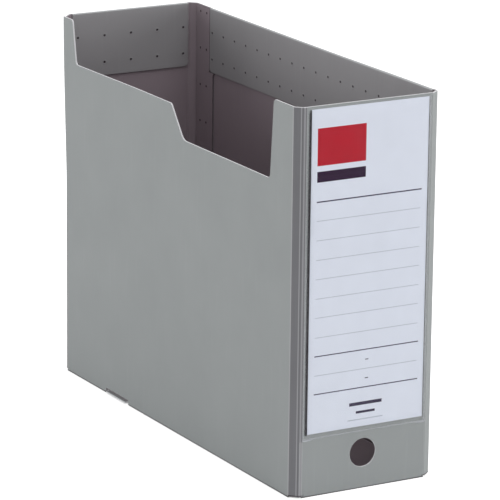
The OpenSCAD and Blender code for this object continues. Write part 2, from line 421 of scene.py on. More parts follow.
@dataclass(frozen=True)
class Stance:
    """How the emptied holder stands a little out of true, as thin folded sheet does.

    Its plan leans into a parallelogram by the skew. The top of the cut-out side's rear pillar,
    which nothing holds, springs outward by the splay. The tall side's front end bulges outward.
    The bulge moves neighbouring pieces together, as it only depends on the place.
    """

    skew: float = 0.0152
    splay: float = 2.6
    splay_foot: float = 95.0
    splay_top: float = 255.0
    splay_start: float = 35.0
    bulge: float = 1.3
    bulge_start: float = 20.0
    face: float = 46.8
    strip: float = 4.2
    reach: float = 115.0

    def settle(self, points: np.ndarray, springs: bool) -> np.ndarray:
        """Moves points from the true box to the one that stands a little out of true.

        Args:
            points: The points, one row each, in metres.
            springs: Whether they are of the side that springs outward.

        Returns:
            The moved points.
        """
        x, y, z = (points / MM).T
        left = smooth((-self.face - x) / self.strip)
        right = smooth((x - self.face) / self.strip)
        high = smooth((z - self.splay_foot) / (self.splay_top - self.splay_foot))
        rear = smooth((y - self.splay_start) / self.reach)
        front = smooth((-y - self.bulge_start) / self.reach)
        across = self.bulge * right * front - self.splay * left * high * rear * springs
        return np.stack([x + across, y - self.skew * x, z], axis=1) * MM


STANCE = Stance()


def build_piece(
    name: str,
    points: np.ndarray,
    faces: list,
    materials: list[bpy.types.Material],
    marks: dict[Mark, np.ndarray],
    face_slots: np.ndarray | None = None,
    springs: bool = False,
) -> bpy.types.Object:
    """Puts points and faces into a new object at the origin, with its faces turned outward.

    Args:
        name: The piece's name.
        points: Points in the frame, in metres.
        faces: Lists of point numbers.
        materials: The piece's materials, in slot order.
        marks: Values from 0 to 1, one for each point, that the materials read by name.
        face_slots: Each face's material slot.
        springs: Whether the piece springs outward with the cut-out side.

    Returns:
        The new object.
    """
    points = STANCE.settle(points, springs)
    mesh = bpy.data.meshes.new(name)
    whole_faces = [list(map(int, face)) for face in faces]
    mesh.from_pydata(points.tolist(), [], whole_faces, shade_flat=False)
    if signed_volume(points, faces) < 0:
        mesh.flip_normals()
    for mark in Mark:
        values = marks.get(mark, np.zeros(len(points))).astype(np.float32)
        mesh.attributes.new(mark.value, "FLOAT", "POINT").data.foreach_set("value", values)
    for material in materials:
        mesh.materials.append(material)
    if face_slots is not None:
        mesh.polygons.foreach_set("material_index", face_slots.astype(np.int32))
    mesh.update()
    mesh.set_sharp_from_angle(angle=CREASED_EDGE)
    piece = bpy.data.objects.new(name, mesh)
    bpy.context.scene.collection.objects.link(piece)
    LOG.info("%s: %d points, %d faces", name, len(points), len(faces))
    return piece


# ---------------------------------------------------------------- finishes


class Mark(Enum):
    """What a point can be marked as, for the finishes to read. Dark marks painted shade."""

    # Painted highlights on cut edges and creases
    CUT_EDGE = "cut_edge"
    CREASE = "crease"
    # Painted shade, darker and warmer, on faces that look into the box
    INSIDE = "inside"
    # Painted shade in pits and crevices, along the feet and beside the label card
    DARK = "dark"


class Bench:
    """Adds nodes to a tree, with their settings, values and links, one call for each node."""

    def __init__(self, tree: bpy.types.NodeTree) -> None:
        """Takes the tree that the nodes go into."""
        self.tree = tree

    def add(self, kind: str, values: dict | None = None, **settings: object) -> bpy.types.Node:
        """Adds a node.

        Args:
            kind: The node's type.
            values: What goes into each input: a socket to link from, or a constant.
            settings: The node's own settings.

        Returns:
            The new node.
        """
        node = self.tree.nodes.new(kind)
        for key, value in settings.items():
            setattr(node, key, value)
        self.join(values or {}, node)
        return node

    def mask(self, mark: Mark) -> bpy.types.NodeSocket:
        """The values of a mark, from 0 to 1."""
        return self.add("ShaderNodeAttribute", attribute_name=mark.value).outputs["Fac"]

    def math(self, operation: str, a: object, b: object = 0.0) -> bpy.types.NodeSocket:
        """The result of a sum on two values."""
        return self.add("ShaderNodeMath", {0: a, 1: b}, operation=operation).outputs[0]

    def mix(self, share: object, a: object, b: object, blend: str = "MIX") -> bpy.types.NodeSocket:
        """Mixes two colours.

        Args:
            share: The second colour's share.
            a: The first colour.
            b: The second colour.
            blend: How they are blended.

        Returns:
            The mixed colour.
        """
        values = {0: share, 6: a, 7: b}
        return self.add("ShaderNodeMix", values, data_type="RGBA", blend_type=blend).outputs[2]

    def noise(
        self, vector: object, scale: float, detail: float = 2.0, rough: float = 0.5
    ) -> bpy.types.NodeSocket:
        """A noise from 0 to 1."""
        values = {"Vector": vector, "Scale": scale, "Detail": detail, "Roughness": rough}
        return self.add("ShaderNodeTexNoise", values).outputs["Fac"]

    def stretch(self, value: object, low: float, high: float) -> bpy.types.NodeSocket:
        """Spreads values between low and high over 0 to 1."""
        values = {"Value": value, "From Min": low, "From Max": high}
        return self.add("ShaderNodeMapRange", values, clamp=True).outputs["Result"]

    def join(self, links: dict, node: bpy.types.Node) -> None:
        """Links or sets the given inputs of a node that is already there.

        Args:
            links: By input, a socket to link from, or a constant.
            node: The node.
        """
        for key, value in links.items():
            if isinstance(value, bpy.types.NodeSocket):
                self.tree.links.new(value, node.inputs[key])
            else:
                node.inputs[key].default_value = value


def new_group(
    name: str, inputs: dict[str, str], outputs: dict[str, str]
) -> tuple[Bench, bpy.types.NodeOutputs, bpy.types.Node]:
    """Makes an empty shader node group.

    Args:
        name: The group's name.
        inputs: Socket types by input name.
        outputs: Socket types by output name.

    Returns:
        A bench on the group's tree, the sockets that it is given, and its output node.
    """
    tree = bpy.data.node_groups.new(name, "ShaderNodeTree")
    for sockets, side in ((inputs, "INPUT"), (outputs, "OUTPUT")):
        for socket, kind in sockets.items():
            tree.interface.new_socket(socket, in_out=side, socket_type=kind)
    bench = Bench(tree)
    return bench, bench.add("NodeGroupInput").outputs, bench.add("NodeGroupOutput")


FLOAT, COLOUR, VECTOR = "NodeSocketFloat", "NodeSocketColor", "NodeSocketVector"


def make_grain_group() -> bpy.types.NodeTree:
    """Makes the rolled sheet's surface: fine grain, cloudy mottling and faint rubbed streaks.

    The height is a fine noise plus soft pebbles. The mottling is a slow noise, and the
    streaks are a noise drawn out upward.

    Returns:
        The group.
    """
    inputs = {"Coordinates": VECTOR, "Grain Scale": FLOAT, "Pebble Scale": FLOAT, "Cloud Scale": FLOAT}
    outputs = {"Height": FLOAT, "Mottle": FLOAT, "Rubbed": FLOAT}
    bench, given, out = new_group("sheet_grain", inputs, outputs)
    place = given["Coordinates"]
    fine = bench.noise(place, given["Grain Scale"], 3.0, 0.6)
    values = {"Vector": place, "Scale": given["Pebble Scale"]}
    pebbles = bench.add("ShaderNodeTexVoronoi", values, feature="SMOOTH_F1").outputs["Distance"]
    fine, pebbles = bench.math("MULTIPLY", fine, 0.6), bench.math("MULTIPLY", pebbles, 0.5)
    height = bench.math("ADD", fine, pebbles)
    cloud = bench.noise(place, given["Cloud Scale"], 4.0, 0.55)
    drawn_out = {"Vector": place, "Scale": (1.0, 1.0, 0.06)}
    streak = bench.noise(bench.add("ShaderNodeMapping", drawn_out).outputs[0], 420.0, 2.0, 0.5)
    results = {
        "Height": height,
        "Mottle": bench.stretch(cloud, 0.3, 0.7),
        "Rubbed": bench.stretch(streak, 0.58, 0.8),
    }
    bench.join(results, out)
    return bench.tree


def make_tone_group() -> bpy.types.NodeTree:
    """Makes the sheet's colour: mottled, with painted shade inside and in pits and crevices, and
    painted highlights on edges and creases.

    Returns:
        The group.
    """
    colours = dict.fromkeys(("Base", "Inside Shade Colour", "Pale Colour", "Shade Colour"), COLOUR)
    shares = dict.fromkeys(("Mottle", "Rubbed", "Inside", "Edge", "Crease", "Dark"), FLOAT)
    bench, at, out = new_group("sheet_tone", colours | shares, {"Colour": COLOUR})
    # Faces that look into the box take a darker, warmer colour: painted shade
    colour = bench.mix(at["Inside"], at["Base"], at["Inside Shade Colour"])
    darker = bench.mix(1.0, colour, (0.965, 0.965, 0.967, 1.0), "MULTIPLY")
    colour = bench.mix(at["Mottle"], darker, colour)
    for share, over in (
        (bench.math("MULTIPLY", at["Rubbed"], 0.03), "Pale Colour"),
        (at["Crease"], "Pale Colour"),
        (at["Edge"], "Pale Colour"),
        (at["Dark"], "Shade Colour"),
    ):
        colour = bench.mix(share, colour, at[over])
    bench.join({"Colour": colour}, out)
    return bench.tree


Rgb = tuple[float, float, float]


def opaque(colour: Rgb) -> tuple[float, float, float, float]:
    """A colour with a full alpha."""
    return (*colour, 1.0)


def new_material(
    name: str,
) -> tuple[bpy.types.Material, Bench, bpy.types.Node, bpy.types.NodeSocket]:
    """Makes a material with one principled shader.

    Args:
        name: The material's name.

    Returns:
        The material, a bench on its tree, its shader, and its object coordinates.
    """
    material = bpy.data.materials.new(name)
    material.use_nodes = True
    material.node_tree.nodes.clear()
    bench = Bench(material.node_tree)
    shader = bench.add("ShaderNodeBsdfPrincipled")
    bench.add("ShaderNodeOutputMaterial", {"Surface": shader.outputs[0]})
    return material, bench, shader, bench.add("ShaderNodeTexCoord").outputs["Object"]


@dataclass(frozen=True)
class SheetFinish:
    """Matt grained polypropylene, with painted highlights on its cut edges and creases."""

    name: str
    base: Rgb = (0.33, 0.35, 0.352)
    # The colour of inside faces: painted shade, darker and warmer than the base
    inside: Rgb = (0.33, 0.275, 0.305)
    # The colour of painted highlights on cut edges and creases, and of faint rubbed streaks
    pale: Rgb = (0.78, 0.78, 0.80)
    # The colour of painted shade in pits and crevices and along the feet
    dark: Rgb = (0.03, 0.02, 0.025)
    edge_share: float = 0.85
    crease_share: float = 0.5
    roughness: float = 0.52
    uneven_roughness: float = 0.08
    specular: float = 0.35
    grain_depth: float = 0.00002
    grain_strength: float = 0.5
    grain_scale: float = 2600.0
    pebble_scale: float = 1500.0
    cloud_scale: float = 26.0

    def build(self, grain: bpy.types.NodeTree, tone: bpy.types.NodeTree) -> bpy.types.Material:
        """Makes the material.

        Args:
            grain: The shared grain group.
            tone: The shared tone group.

        Returns:
            The material.
        """
        material, bench, shader, place = new_material(self.name)
        relief = bench.add("ShaderNodeGroup", node_tree=grain)
        scales = {
            "Coordinates": place,
            "Grain Scale": self.grain_scale,
            "Pebble Scale": self.pebble_scale,
            "Cloud Scale": self.cloud_scale,
        }
        bench.join(scales, relief)
        colour = bench.add("ShaderNodeGroup", node_tree=tone)
        tones = {
            "Base": opaque(self.base),
            "Inside Shade Colour": opaque(self.inside),
            "Pale Colour": opaque(self.pale),
            "Shade Colour": opaque(self.dark),
            "Mottle": relief.outputs["Mottle"],
            "Rubbed": relief.outputs["Rubbed"],
            "Inside": bench.mask(Mark.INSIDE),
            "Edge": bench.math("MULTIPLY", bench.mask(Mark.CUT_EDGE), self.edge_share),
            "Crease": bench.math("MULTIPLY", bench.mask(Mark.CREASE), self.crease_share),
            "Dark": bench.mask(Mark.DARK),
        }
        bench.join(tones, colour)
        smoother = bench.math("MULTIPLY", relief.outputs["Mottle"], self.uneven_roughness)
        roughest = self.roughness + self.uneven_roughness / 2
        bump = {
            "Height": relief.outputs["Height"],
            "Strength": self.grain_strength,
            "Distance": self.grain_depth,
        }
        surface = {
            "Base Color": colour.outputs["Colour"],
            "Roughness": bench.math("SUBTRACT", roughest, smoother),
            "Specular IOR Level": self.specular,
            "Normal": bench.add("ShaderNodeBump", bump).outputs[0],
        }
        bench.join(surface, shader)
        return material


@dataclass(frozen=True)
class InkFinish:
    """Coated label card, or an ink printed on it: paper tooth and a little uneven cover."""

    name: str
    colour: Rgb
    unevenness: float = 0.05
    roughness: float = 0.5
    uneven_roughness: float = 0.1
    specular: float = 0.12
    tooth_depth: float = 0.00001
    tooth_strength: float = 0.25

    def build(self) -> bpy.types.Material:
        """Makes the material.

        Returns:
            The material.
        """
        material, bench, shader, place = new_material(self.name)
        cloud = bench.stretch(bench.noise(place, 90.0, 4.0, 0.6), 0.3, 0.7)
        dull = tuple(value * (1.0 - self.unevenness) for value in self.colour)
        bump = {
            "Height": bench.noise(place, 2400.0, 3.0, 0.6),
            "Strength": self.tooth_strength,
            "Distance": self.tooth_depth,
        }
        rougher = bench.math("MULTIPLY", cloud, self.uneven_roughness)
        surface = {
            "Base Color": bench.mix(cloud, opaque(dull), opaque(self.colour)),
            "Normal": bench.add("ShaderNodeBump", bump).outputs[0],
            "Roughness": bench.math("ADD", rougher, self.roughness - self.uneven_roughness / 2),
            "Specular IOR Level": self.specular,
        }
        bench.join(surface, shader)
        return material


@dataclass(frozen=True)
class FilmFinish:
    """Clear soft film: almost unseen face on, whiter at a slant as a painted reflection, with painted
    sheen along its ripples, painted highlights on its edges and side welds and a paler foot weld.

    Beside the card it gets painted shade, where it folds over the card's edge.
    """

    name: str
    colour: Rgb = (0.62, 0.64, 0.70)
    # The whiter colour of the painted sheen along the ripples
    bright: Rgb = (0.86, 0.88, 0.93)
    shade: Rgb = (0.035, 0.028, 0.04)
    haze: float = 0.004
    ripple_sheen: float = 0.012
    edge_cover: float = 0.6
    slant_reflection: float = 0.03
    least_dark: float = 0.05
    roughness: float = 0.12
    uneven_roughness: float = 0.08
    ripple_depth: float = 0.0002
    ripple_strength: float = 0.3

    def build(self) -> bpy.types.Material:
        """Makes the material.

        Returns:
            The material.
        """
        material, bench, shader, place = new_material(self.name)
        drawn_out = {"Vector": place, "Scale": (1.0, 1.0, 0.3)}
        ripple = bench.noise(bench.add("ShaderNodeMapping", drawn_out).outputs[0], 60.0, 2.0, 0.5)
        # Painted reflection: the film's whitish cover grows towards a slant
        slant = bench.add("ShaderNodeLayerWeight", {"Blend": 0.25}).outputs["Facing"]
        cover = bench.math("ADD", self.haze, bench.math("MULTIPLY", slant, self.slant_reflection))
        # Painted sheen: the cover grows thicker and whiter along the ripples
        rippled = bench.math("MULTIPLY", bench.stretch(ripple, 0.45, 0.75), self.ripple_sheen)
        # Painted highlights along the film's edges and sides, and its paler foot weld
        weld = bench.math("MULTIPLY", bench.mask(Mark.CUT_EDGE), self.edge_cover)
        # Painted shade beside the card: dark cover in the shade colour
        dark = bench.mask(Mark.DARK)
        cover = bench.math("MAXIMUM", bench.math("ADD", cover, rippled), weld)
        clear = bench.mix(ripple, opaque(self.colour), opaque(self.bright))
        is_dark = bench.math("GREATER_THAN", dark, self.least_dark)
        bump = {"Height": ripple, "Strength": self.ripple_strength, "Distance": self.ripple_depth}
        rougher = bench.math("MULTIPLY", ripple, self.uneven_roughness)
        surface = {
            "Alpha": bench.math("MAXIMUM", cover, dark),
            "Base Color": bench.mix(is_dark, clear, opaque(self.shade)),
            "Normal": bench.add("ShaderNodeBump", bump).outputs[0],
            "Roughness": bench.math("ADD", rougher, self.roughness - self.uneven_roughness / 2),
        }
        bench.join(surface, shader)
        return material


@dataclass
class Palette:
    """All the finished materials of the holder."""

    sheet: bpy.types.Material
    # A darker copy of the sheet finish: painted shade, for the left corner strips and the foot crease
    crease: bpy.types.Material
    film: bpy.types.Material
    paper: bpy.types.Material
    navy: bpy.types.Material
    red: bpy.types.Material
    dark_ink: bpy.types.Material
    pale_ink: bpy.types.Material

    @classmethod
    def mix(cls) -> "Palette":
        """Makes every material once.

        Returns:
            The finished materials.
        """
        grain, tone = make_grain_group(), make_tone_group()
        # The sheet finish made darker: painted shade
        pressed = SheetFinish("grey_crease", base=(0.21, 0.21, 0.225), roughness=0.46)
        return cls(
            sheet=SheetFinish("grey_sheet").build(grain, tone),
            crease=pressed.build(grain, tone),
            film=FilmFinish("clear_film").build(),
            paper=InkFinish("label_paper", (0.77, 0.81, 0.91), 0.03).build(),
            navy=InkFinish("navy_ink", (0.028, 0.008, 0.034)).build(),
            red=InkFinish("red_ink", (0.50, 0.012, 0.028), 0.12).build(),
            dark_ink=InkFinish("dark_ink", (0.06, 0.05, 0.09)).build(),
            pale_ink=InkFinish("pale_ink", (0.50, 0.54, 0.62)).build(),
        )


# ---------------------------------------------------------------- shared by the sub-assemblies


@dataclass(frozen=True)
class Box:
    """A CAD node's box at rest, in millimetres."""

    x0: float
    y0: float
    z0: float
    x1: float
    y1: float
    z1: float

    @classmethod
    def of(cls, node: str) -> "Box":
        """Reads the box of a node."""
        low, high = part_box(node)
        return cls(*(value / MM for value in (*low, *high)))


# Millimetres: the sheet's thickness, its edge radius and the first grid line beside an edge
SHEET = 1.0
HALF = SHEET / 2
EDGE = 0.2
SUPPORT = 0.45
# How far past its own reach the spine's left crease covers the spine with its painted shade
SPINE_COVER = 1.3
# The height of the painted shadow line at a wall's foot, its strength, and the grid line above it
FOOT_LINE = 0.8
FOOT_SHADOW = 0.75
FOOT_ROW = 1.0


@dataclass(frozen=True)
class WeldSpots:
    """A grid of punched weld spots, at every meeting of the given columns and rows."""

    columns: np.ndarray
    rows: np.ndarray
    radius: float
    depth: float = 0.38
    rim: float = 0.14
    rim_place: float = 1.35
    rim_width: float = 0.25
    # Where the painted shade of a pit is full and how far it fades, in spot radii
    dark_core: float = 0.6
    dark_fade: float = 0.45

    def distance(self, u: np.ndarray, v: np.ndarray) -> np.ndarray:
        """The distance to the nearest spot, in spot radii.

        Args:
            u: Places along the columns' axis.
            v: Places along the rows' axis.

        Returns:
            The distances.
        """
        across = np.abs(u[..., None] - self.columns).min(axis=-1)
        upward = np.abs(v[..., None] - self.rows).min(axis=-1)
        return np.hypot(across, upward) / self.radius

    def lift(self, u: np.ndarray, v: np.ndarray) -> np.ndarray:
        """A smooth pit as deep as depth within 1 radius, and a bell-shaped rim around it."""
        r = self.distance(u, v)
        return self.rim * bell(r - self.rim_place, self.rim_width) - self.depth * (1 - smooth(r))

    def punched(self, u: np.ndarray, v: np.ndarray) -> np.ndarray:
        """1 in the core of a spot's pit, where its shade is painted, falling smoothly to 0."""
        return 1 - smooth((self.distance(u, v) - self.dark_core) / self.dark_fade)

    @classmethod
    def filling(
        cls, width: tuple[float, float], height: tuple[float, float], count: int, pitch: float
    ) -> "WeldSpots":
        """Fills a box with two rows of spots. Their radius is what the pitches leave of its width.

        Args:
            width: The box's two ends.
            height: Its foot and top.
            count: Spots in a row.
            pitch: The distance between them.

        Returns:
            The spots.
        """
        radius = (width[1] - width[0] - (count - 1) * pitch) / 2
        columns = np.linspace(width[0] + radius, width[1] - radius, count)
        return cls(columns, np.array([height[0] + radius, height[1] - radius]), radius)

    def lines(self, centres: np.ndarray) -> np.ndarray:
        """Closely spaced grid lines across the spots that stand at these centres."""
        across = np.linspace(-1.9, 1.9, 17) * self.radius
        return (centres[:, None] + across).ravel()


def near_ends(low: float, high: float) -> np.ndarray:
    """Grid lines just inside both ends, which keep a rounded edge's shading off the flat."""
    return np.array([low + SUPPORT, high - SUPPORT])


def with_supports(stations: np.ndarray) -> np.ndarray:
    """Stations along a path, with one more just inside either end."""
    return np.unique(np.concatenate([stations, near_ends(stations[0], stations[-1])]))


def even_rows(height: float, spacing: float) -> np.ndarray:
    """Shares from 0 to 1 for rows about a spacing apart, with more at the foot and either end."""
    rows = np.linspace(0, 1, max(2, round(height / spacing)) + 1)
    return np.unique(np.concatenate([rows, near_ends(0, height) / height, [FOOT_ROW / height]]))


def settle(piece: bpy.types.Object, body: str, slot: str, *nodes: str) -> bpy.types.Object:
    """Makes a piece ride on a body and stand for CAD nodes.

    Args:
        piece: The piece.
        body: The CAD body that it rides on.
        slot: Not used.
        nodes: The CAD nodes that it stands for.

    Returns:
        The same piece.
    """
    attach(piece, body)
    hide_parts(*nodes)
    LOG.info("%s rides on %s", piece.name, body)
    return piece


@dataclass(frozen=True)
class Dressing:
    """What is special about one flat sheet, beyond its outline and where it lies."""

    inside_sign: float = 0.0
    bow: Lift = level
    front: Lift = level
    punched: Lift = level
    # A shaded edge trades its painted highlight for painted shade, edge_dark strong
    shaded_edge: bool = False
    inside_until: float = math.inf
    shadow_below: float = -math.inf
    springs: bool = False
    edge_dark: float = 0.6

    def marks(
        self, patch: Patch, uvw: np.ndarray, cut: np.ndarray
    ) -> dict[Mark, np.ndarray]:
        """Works out what each point of the thickened sheet is marked as.

        A cut edge gets a painted highlight, which turns to painted shade where the edge sits in a
        crevice, and a painted shadow line runs along the foot where one is set. A face looks into
        the box, and gets painted inside shade, if it is on the side of inside_sign, below
        inside_until.

        Args:
            patch: The flat patch.
            uvw: The thickened sheet's points.
            cut: Each point's share of cut edge.

        Returns:
            The values of each mark.
        """
        u, v, w = uvw.T
        offset = w - self.bow(u, v)
        is_front = np.arange(len(uvw)) < len(patch.points)
        # Painted shade in the spot pits and on a shaded edge
        pit = self.punched(u, v) * is_front + self.edge_dark * cut * self.shaded_edge
        # Faces that look into the box are marked for painted inside shade
        inside = (offset * self.inside_sign > SHEET * 0.1) & (v < self.inside_until)
        return {
            Mark.CUT_EDGE: cut * (not self.shaded_edge) * (v >= self.shadow_below),
            Mark.INSIDE: inside.astype(float),
            Mark.DARK: np.maximum(pit, FOOT_SHADOW * (v < self.shadow_below)),
        }


def build_sheet(
    name: str,
    axes: SheetAxes,
    patch: Patch,
    material: bpy.types.Material,
    dressing: Dressing,
) -> bpy.types.Object:
    """Thickens a patch and puts it into the frame.

    Args:
        name: The piece's name.
        axes: Where the sheet lies.
        patch: Its flat grid.
        material: Its material.
        dressing: What is special about it.

    Returns:
        The new piece.
    """
    uvw, faces, cut = thicken(patch, SHEET, EDGE, dressing.bow, dressing.front)
    marks = dressing.marks(patch, uvw, cut)
    return build_piece(name, axes.place(uvw), faces, [material], marks, springs=dressing.springs)


Z_UP = (0.0, 0.0, 1.0)
X_ON = (1.0, 0.0, 0.0)
Y_ON = (0.0, 1.0, 0.0)


def along_y(x: float) -> SheetAxes:
    """Axes of an upright sheet along Y: u is Y, v is Z and the front looks to +X."""
    return SheetAxes((x, 0.0, 0.0), Y_ON, Z_UP, X_ON)


def along_x(y: float) -> SheetAxes:
    """Axes of an upright sheet along X: u is X, v is Z and the front looks to -Y."""
    return SheetAxes((0.0, y, 0.0), X_ON, Z_UP, (0.0, -1.0, 0.0))


def line(*points: tuple[float, float]) -> np.ndarray:
    """An outline of straight stretches."""
    return np.array(points, float)


def under_hem(start: float, hem_start: float, hem_end: float, end: float, top: float) -> np.ndarray:
    """Draws the top of a hemmed wall, one sheet and a hair lower where the hem is folded over it.

    Args:
        start: The wall's first end.
        hem_start: The hem's first end.
        hem_end: The hem's far end.
        end: The wall's far end.
        top: The wall's full height.

    Returns:
        The outline.
    """
    low = top - SHEET - 0.02
    under = ((hem_start, top), (hem_start, low), (hem_end, low), (hem_end, top))
    return line((start, top), *under, (end, top))


def soft_bow(half_length: float, low: float, high: float, rise: float) -> Lift:
    """Makes a slight bow of a wall: one half wave each way, squared, so that the borders stay put.

    Args:
        half_length: Half of the wall's length, about u = 0.
        low: The v of its foot.
        high: The v of its top.
        rise: The lift in the middle.

    Returns:
        The bow.
    """

    def bow(u: np.ndarray, v: np.ndarray) -> np.ndarray:
        """The lift at each place."""
        across = np.cos(np.clip(u / half_length, -1, 1) * math.pi / 2)
        upward = np.sin(np.clip((v - low) / (high - low), 0, 1) * math.pi)
        return rise * across**2 * upward**2

    return bow


@dataclass
class FoldedHem:
    """A hem folded inward over a wall's top, held by two rows of punched weld spots.

    Its cross-section runs over a half-round fold, down the inner face, round the foot and up
    the back. The foot rises in a quarter round at both ends, where the hem's corners are cut.
    """

    start: float
    end: float
    foot: float
    fold: float
    spots: WeldSpots
    corner: float = 3.0
    gap: float = 0.04
    # Painted highlights on the hem's cut ends and its toe
    end_pale: float = 0.15
    toe_pale: float = 0.1
    # The share of painted inside shade on the hem's inner faces
    inside: float = 0.35

    def foot_height(self, along: np.ndarray) -> np.ndarray:
        """The foot's height: raised by r - sqrt(r squared - (r - d) squared) within r of an end."""
        inset_by = np.clip(np.minimum(along - self.start, self.end - along), 0, self.corner)
        return self.foot + self.corner - np.sqrt(self.corner**2 - (self.corner - inset_by) ** 2)

    def stations(self) -> np.ndarray:
        """Works out places along the hem.

        Returns:
            Even places, and close ones at the spots and round the corners.
        """
        even = np.linspace(self.start, self.end, int((self.end - self.start) / 5) + 1)
        bend = self.corner * (1 - np.cos(np.linspace(0, math.pi / 2, 9)))
        at_spots = self.spots.lines(self.spots.columns)
        places = np.concatenate([even, at_spots, self.start + bend, self.end - bend])
        return spread(places[(places >= self.start) & (places <= self.end)], 3, 0.04)

    def profiles(self, places: np.ndarray) -> np.ndarray:
        """Works out the cross-section at each place.

        Args:
            places: Places along the hem.

        Returns:
            Distances from the wall's face, and heights.
        """
        count = len(places)
        foot = self.foot_height(places)[:, None]
        turn = np.linspace(0, math.pi, 17)
        lowest = self.spots.rows.min() - 2.0
        spot_rows = self.spots.lines(self.spots.rows)
        rows = np.concatenate([np.linspace(lowest, self.fold, 12), spot_rows])
        rows = np.unique(np.round(rows[rows < self.fold - 0.01], 3))[::-1]
        share = np.array([0.25, 0.5, 0.75, 0.93])
        toe = np.linspace(0, math.pi / 2, 5)
        over = self.fold + SHEET * np.sin(turn)
        front_toe = SHEET - EDGE + EDGE * np.cos(toe)
        back_toe = self.gap + EDGE - EDGE * np.sin(toe)
        stretches = (
            (-SHEET * np.cos(turn), np.tile(over, (count, 1))),
            (np.full(len(rows), SHEET), np.tile(rows, (count, 1))),
            (np.full(len(share), SHEET), lowest - share * (lowest - foot - EDGE)),
            (front_toe, foot + EDGE - EDGE * np.sin(toe)),
            (back_toe, foot + EDGE - EDGE * np.cos(toe)),
            (np.full(1, self.gap), np.full((count, 1), self.fold)),
        )
        across = np.tile(np.concatenate([distance for distance, _ in stretches]), (count, 1))
        height = np.concatenate([heights for _, heights in stretches], axis=1)
        return np.stack([across, height], axis=2)

    def build(self, name: str, axes: SheetAxes, material: bpy.types.Material) -> bpy.types.Object:
        """Carries the section along the hem, punches its spots and places it.

        Args:
            name: The piece's name.
            axes: u is the way into the box, v is up and w runs along the hem.
            material: Its material.

        Returns:
            The new piece.
        """
        places = self.stations()
        profiles = self.profiles(places)
        if signed_area(profiles[0]) < 0:
            profiles = profiles[:, ::-1]
        points, faces, cut = sweep(profiles, places, EDGE)
        inner = (np.abs(points[:, 0] - SHEET) < 1e-6) & (points[:, 1] < self.fold)
        along, height = points[:, 2], points[:, 1]
        points[:, 0] += self.spots.lift(along, height) * inner
        toe = np.clip(1 - (height - self.foot_height(along)) / EDGE, 0, 1)
        fold = np.clip((height - self.fold) / SHEET, 0, 1)
        marks = {
            Mark.CUT_EDGE: np.maximum(cut * self.end_pale, toe * self.toe_pale),
            # A painted highlight along the fold at the top of the wall
            Mark.CREASE: fold,
            Mark.INSIDE: self.inside * (height < self.fold + 0.3),
            Mark.DARK: self.spots.punched(along, height) * inner,
        }
        return build_piece(name, axes.place(points), faces, [material], marks)


def signed_area(loop: np.ndarray) -> float:
    """Twice the area that a loop encloses, positive when it is anticlockwise."""
    on = np.roll(loop, -1, axis=0)
    return float(np.sum(loop[:, 0] * on[:, 1] - loop[:, 1] * on[:, 0]))


# ---------------------------------------------------------------- sub-assemblies


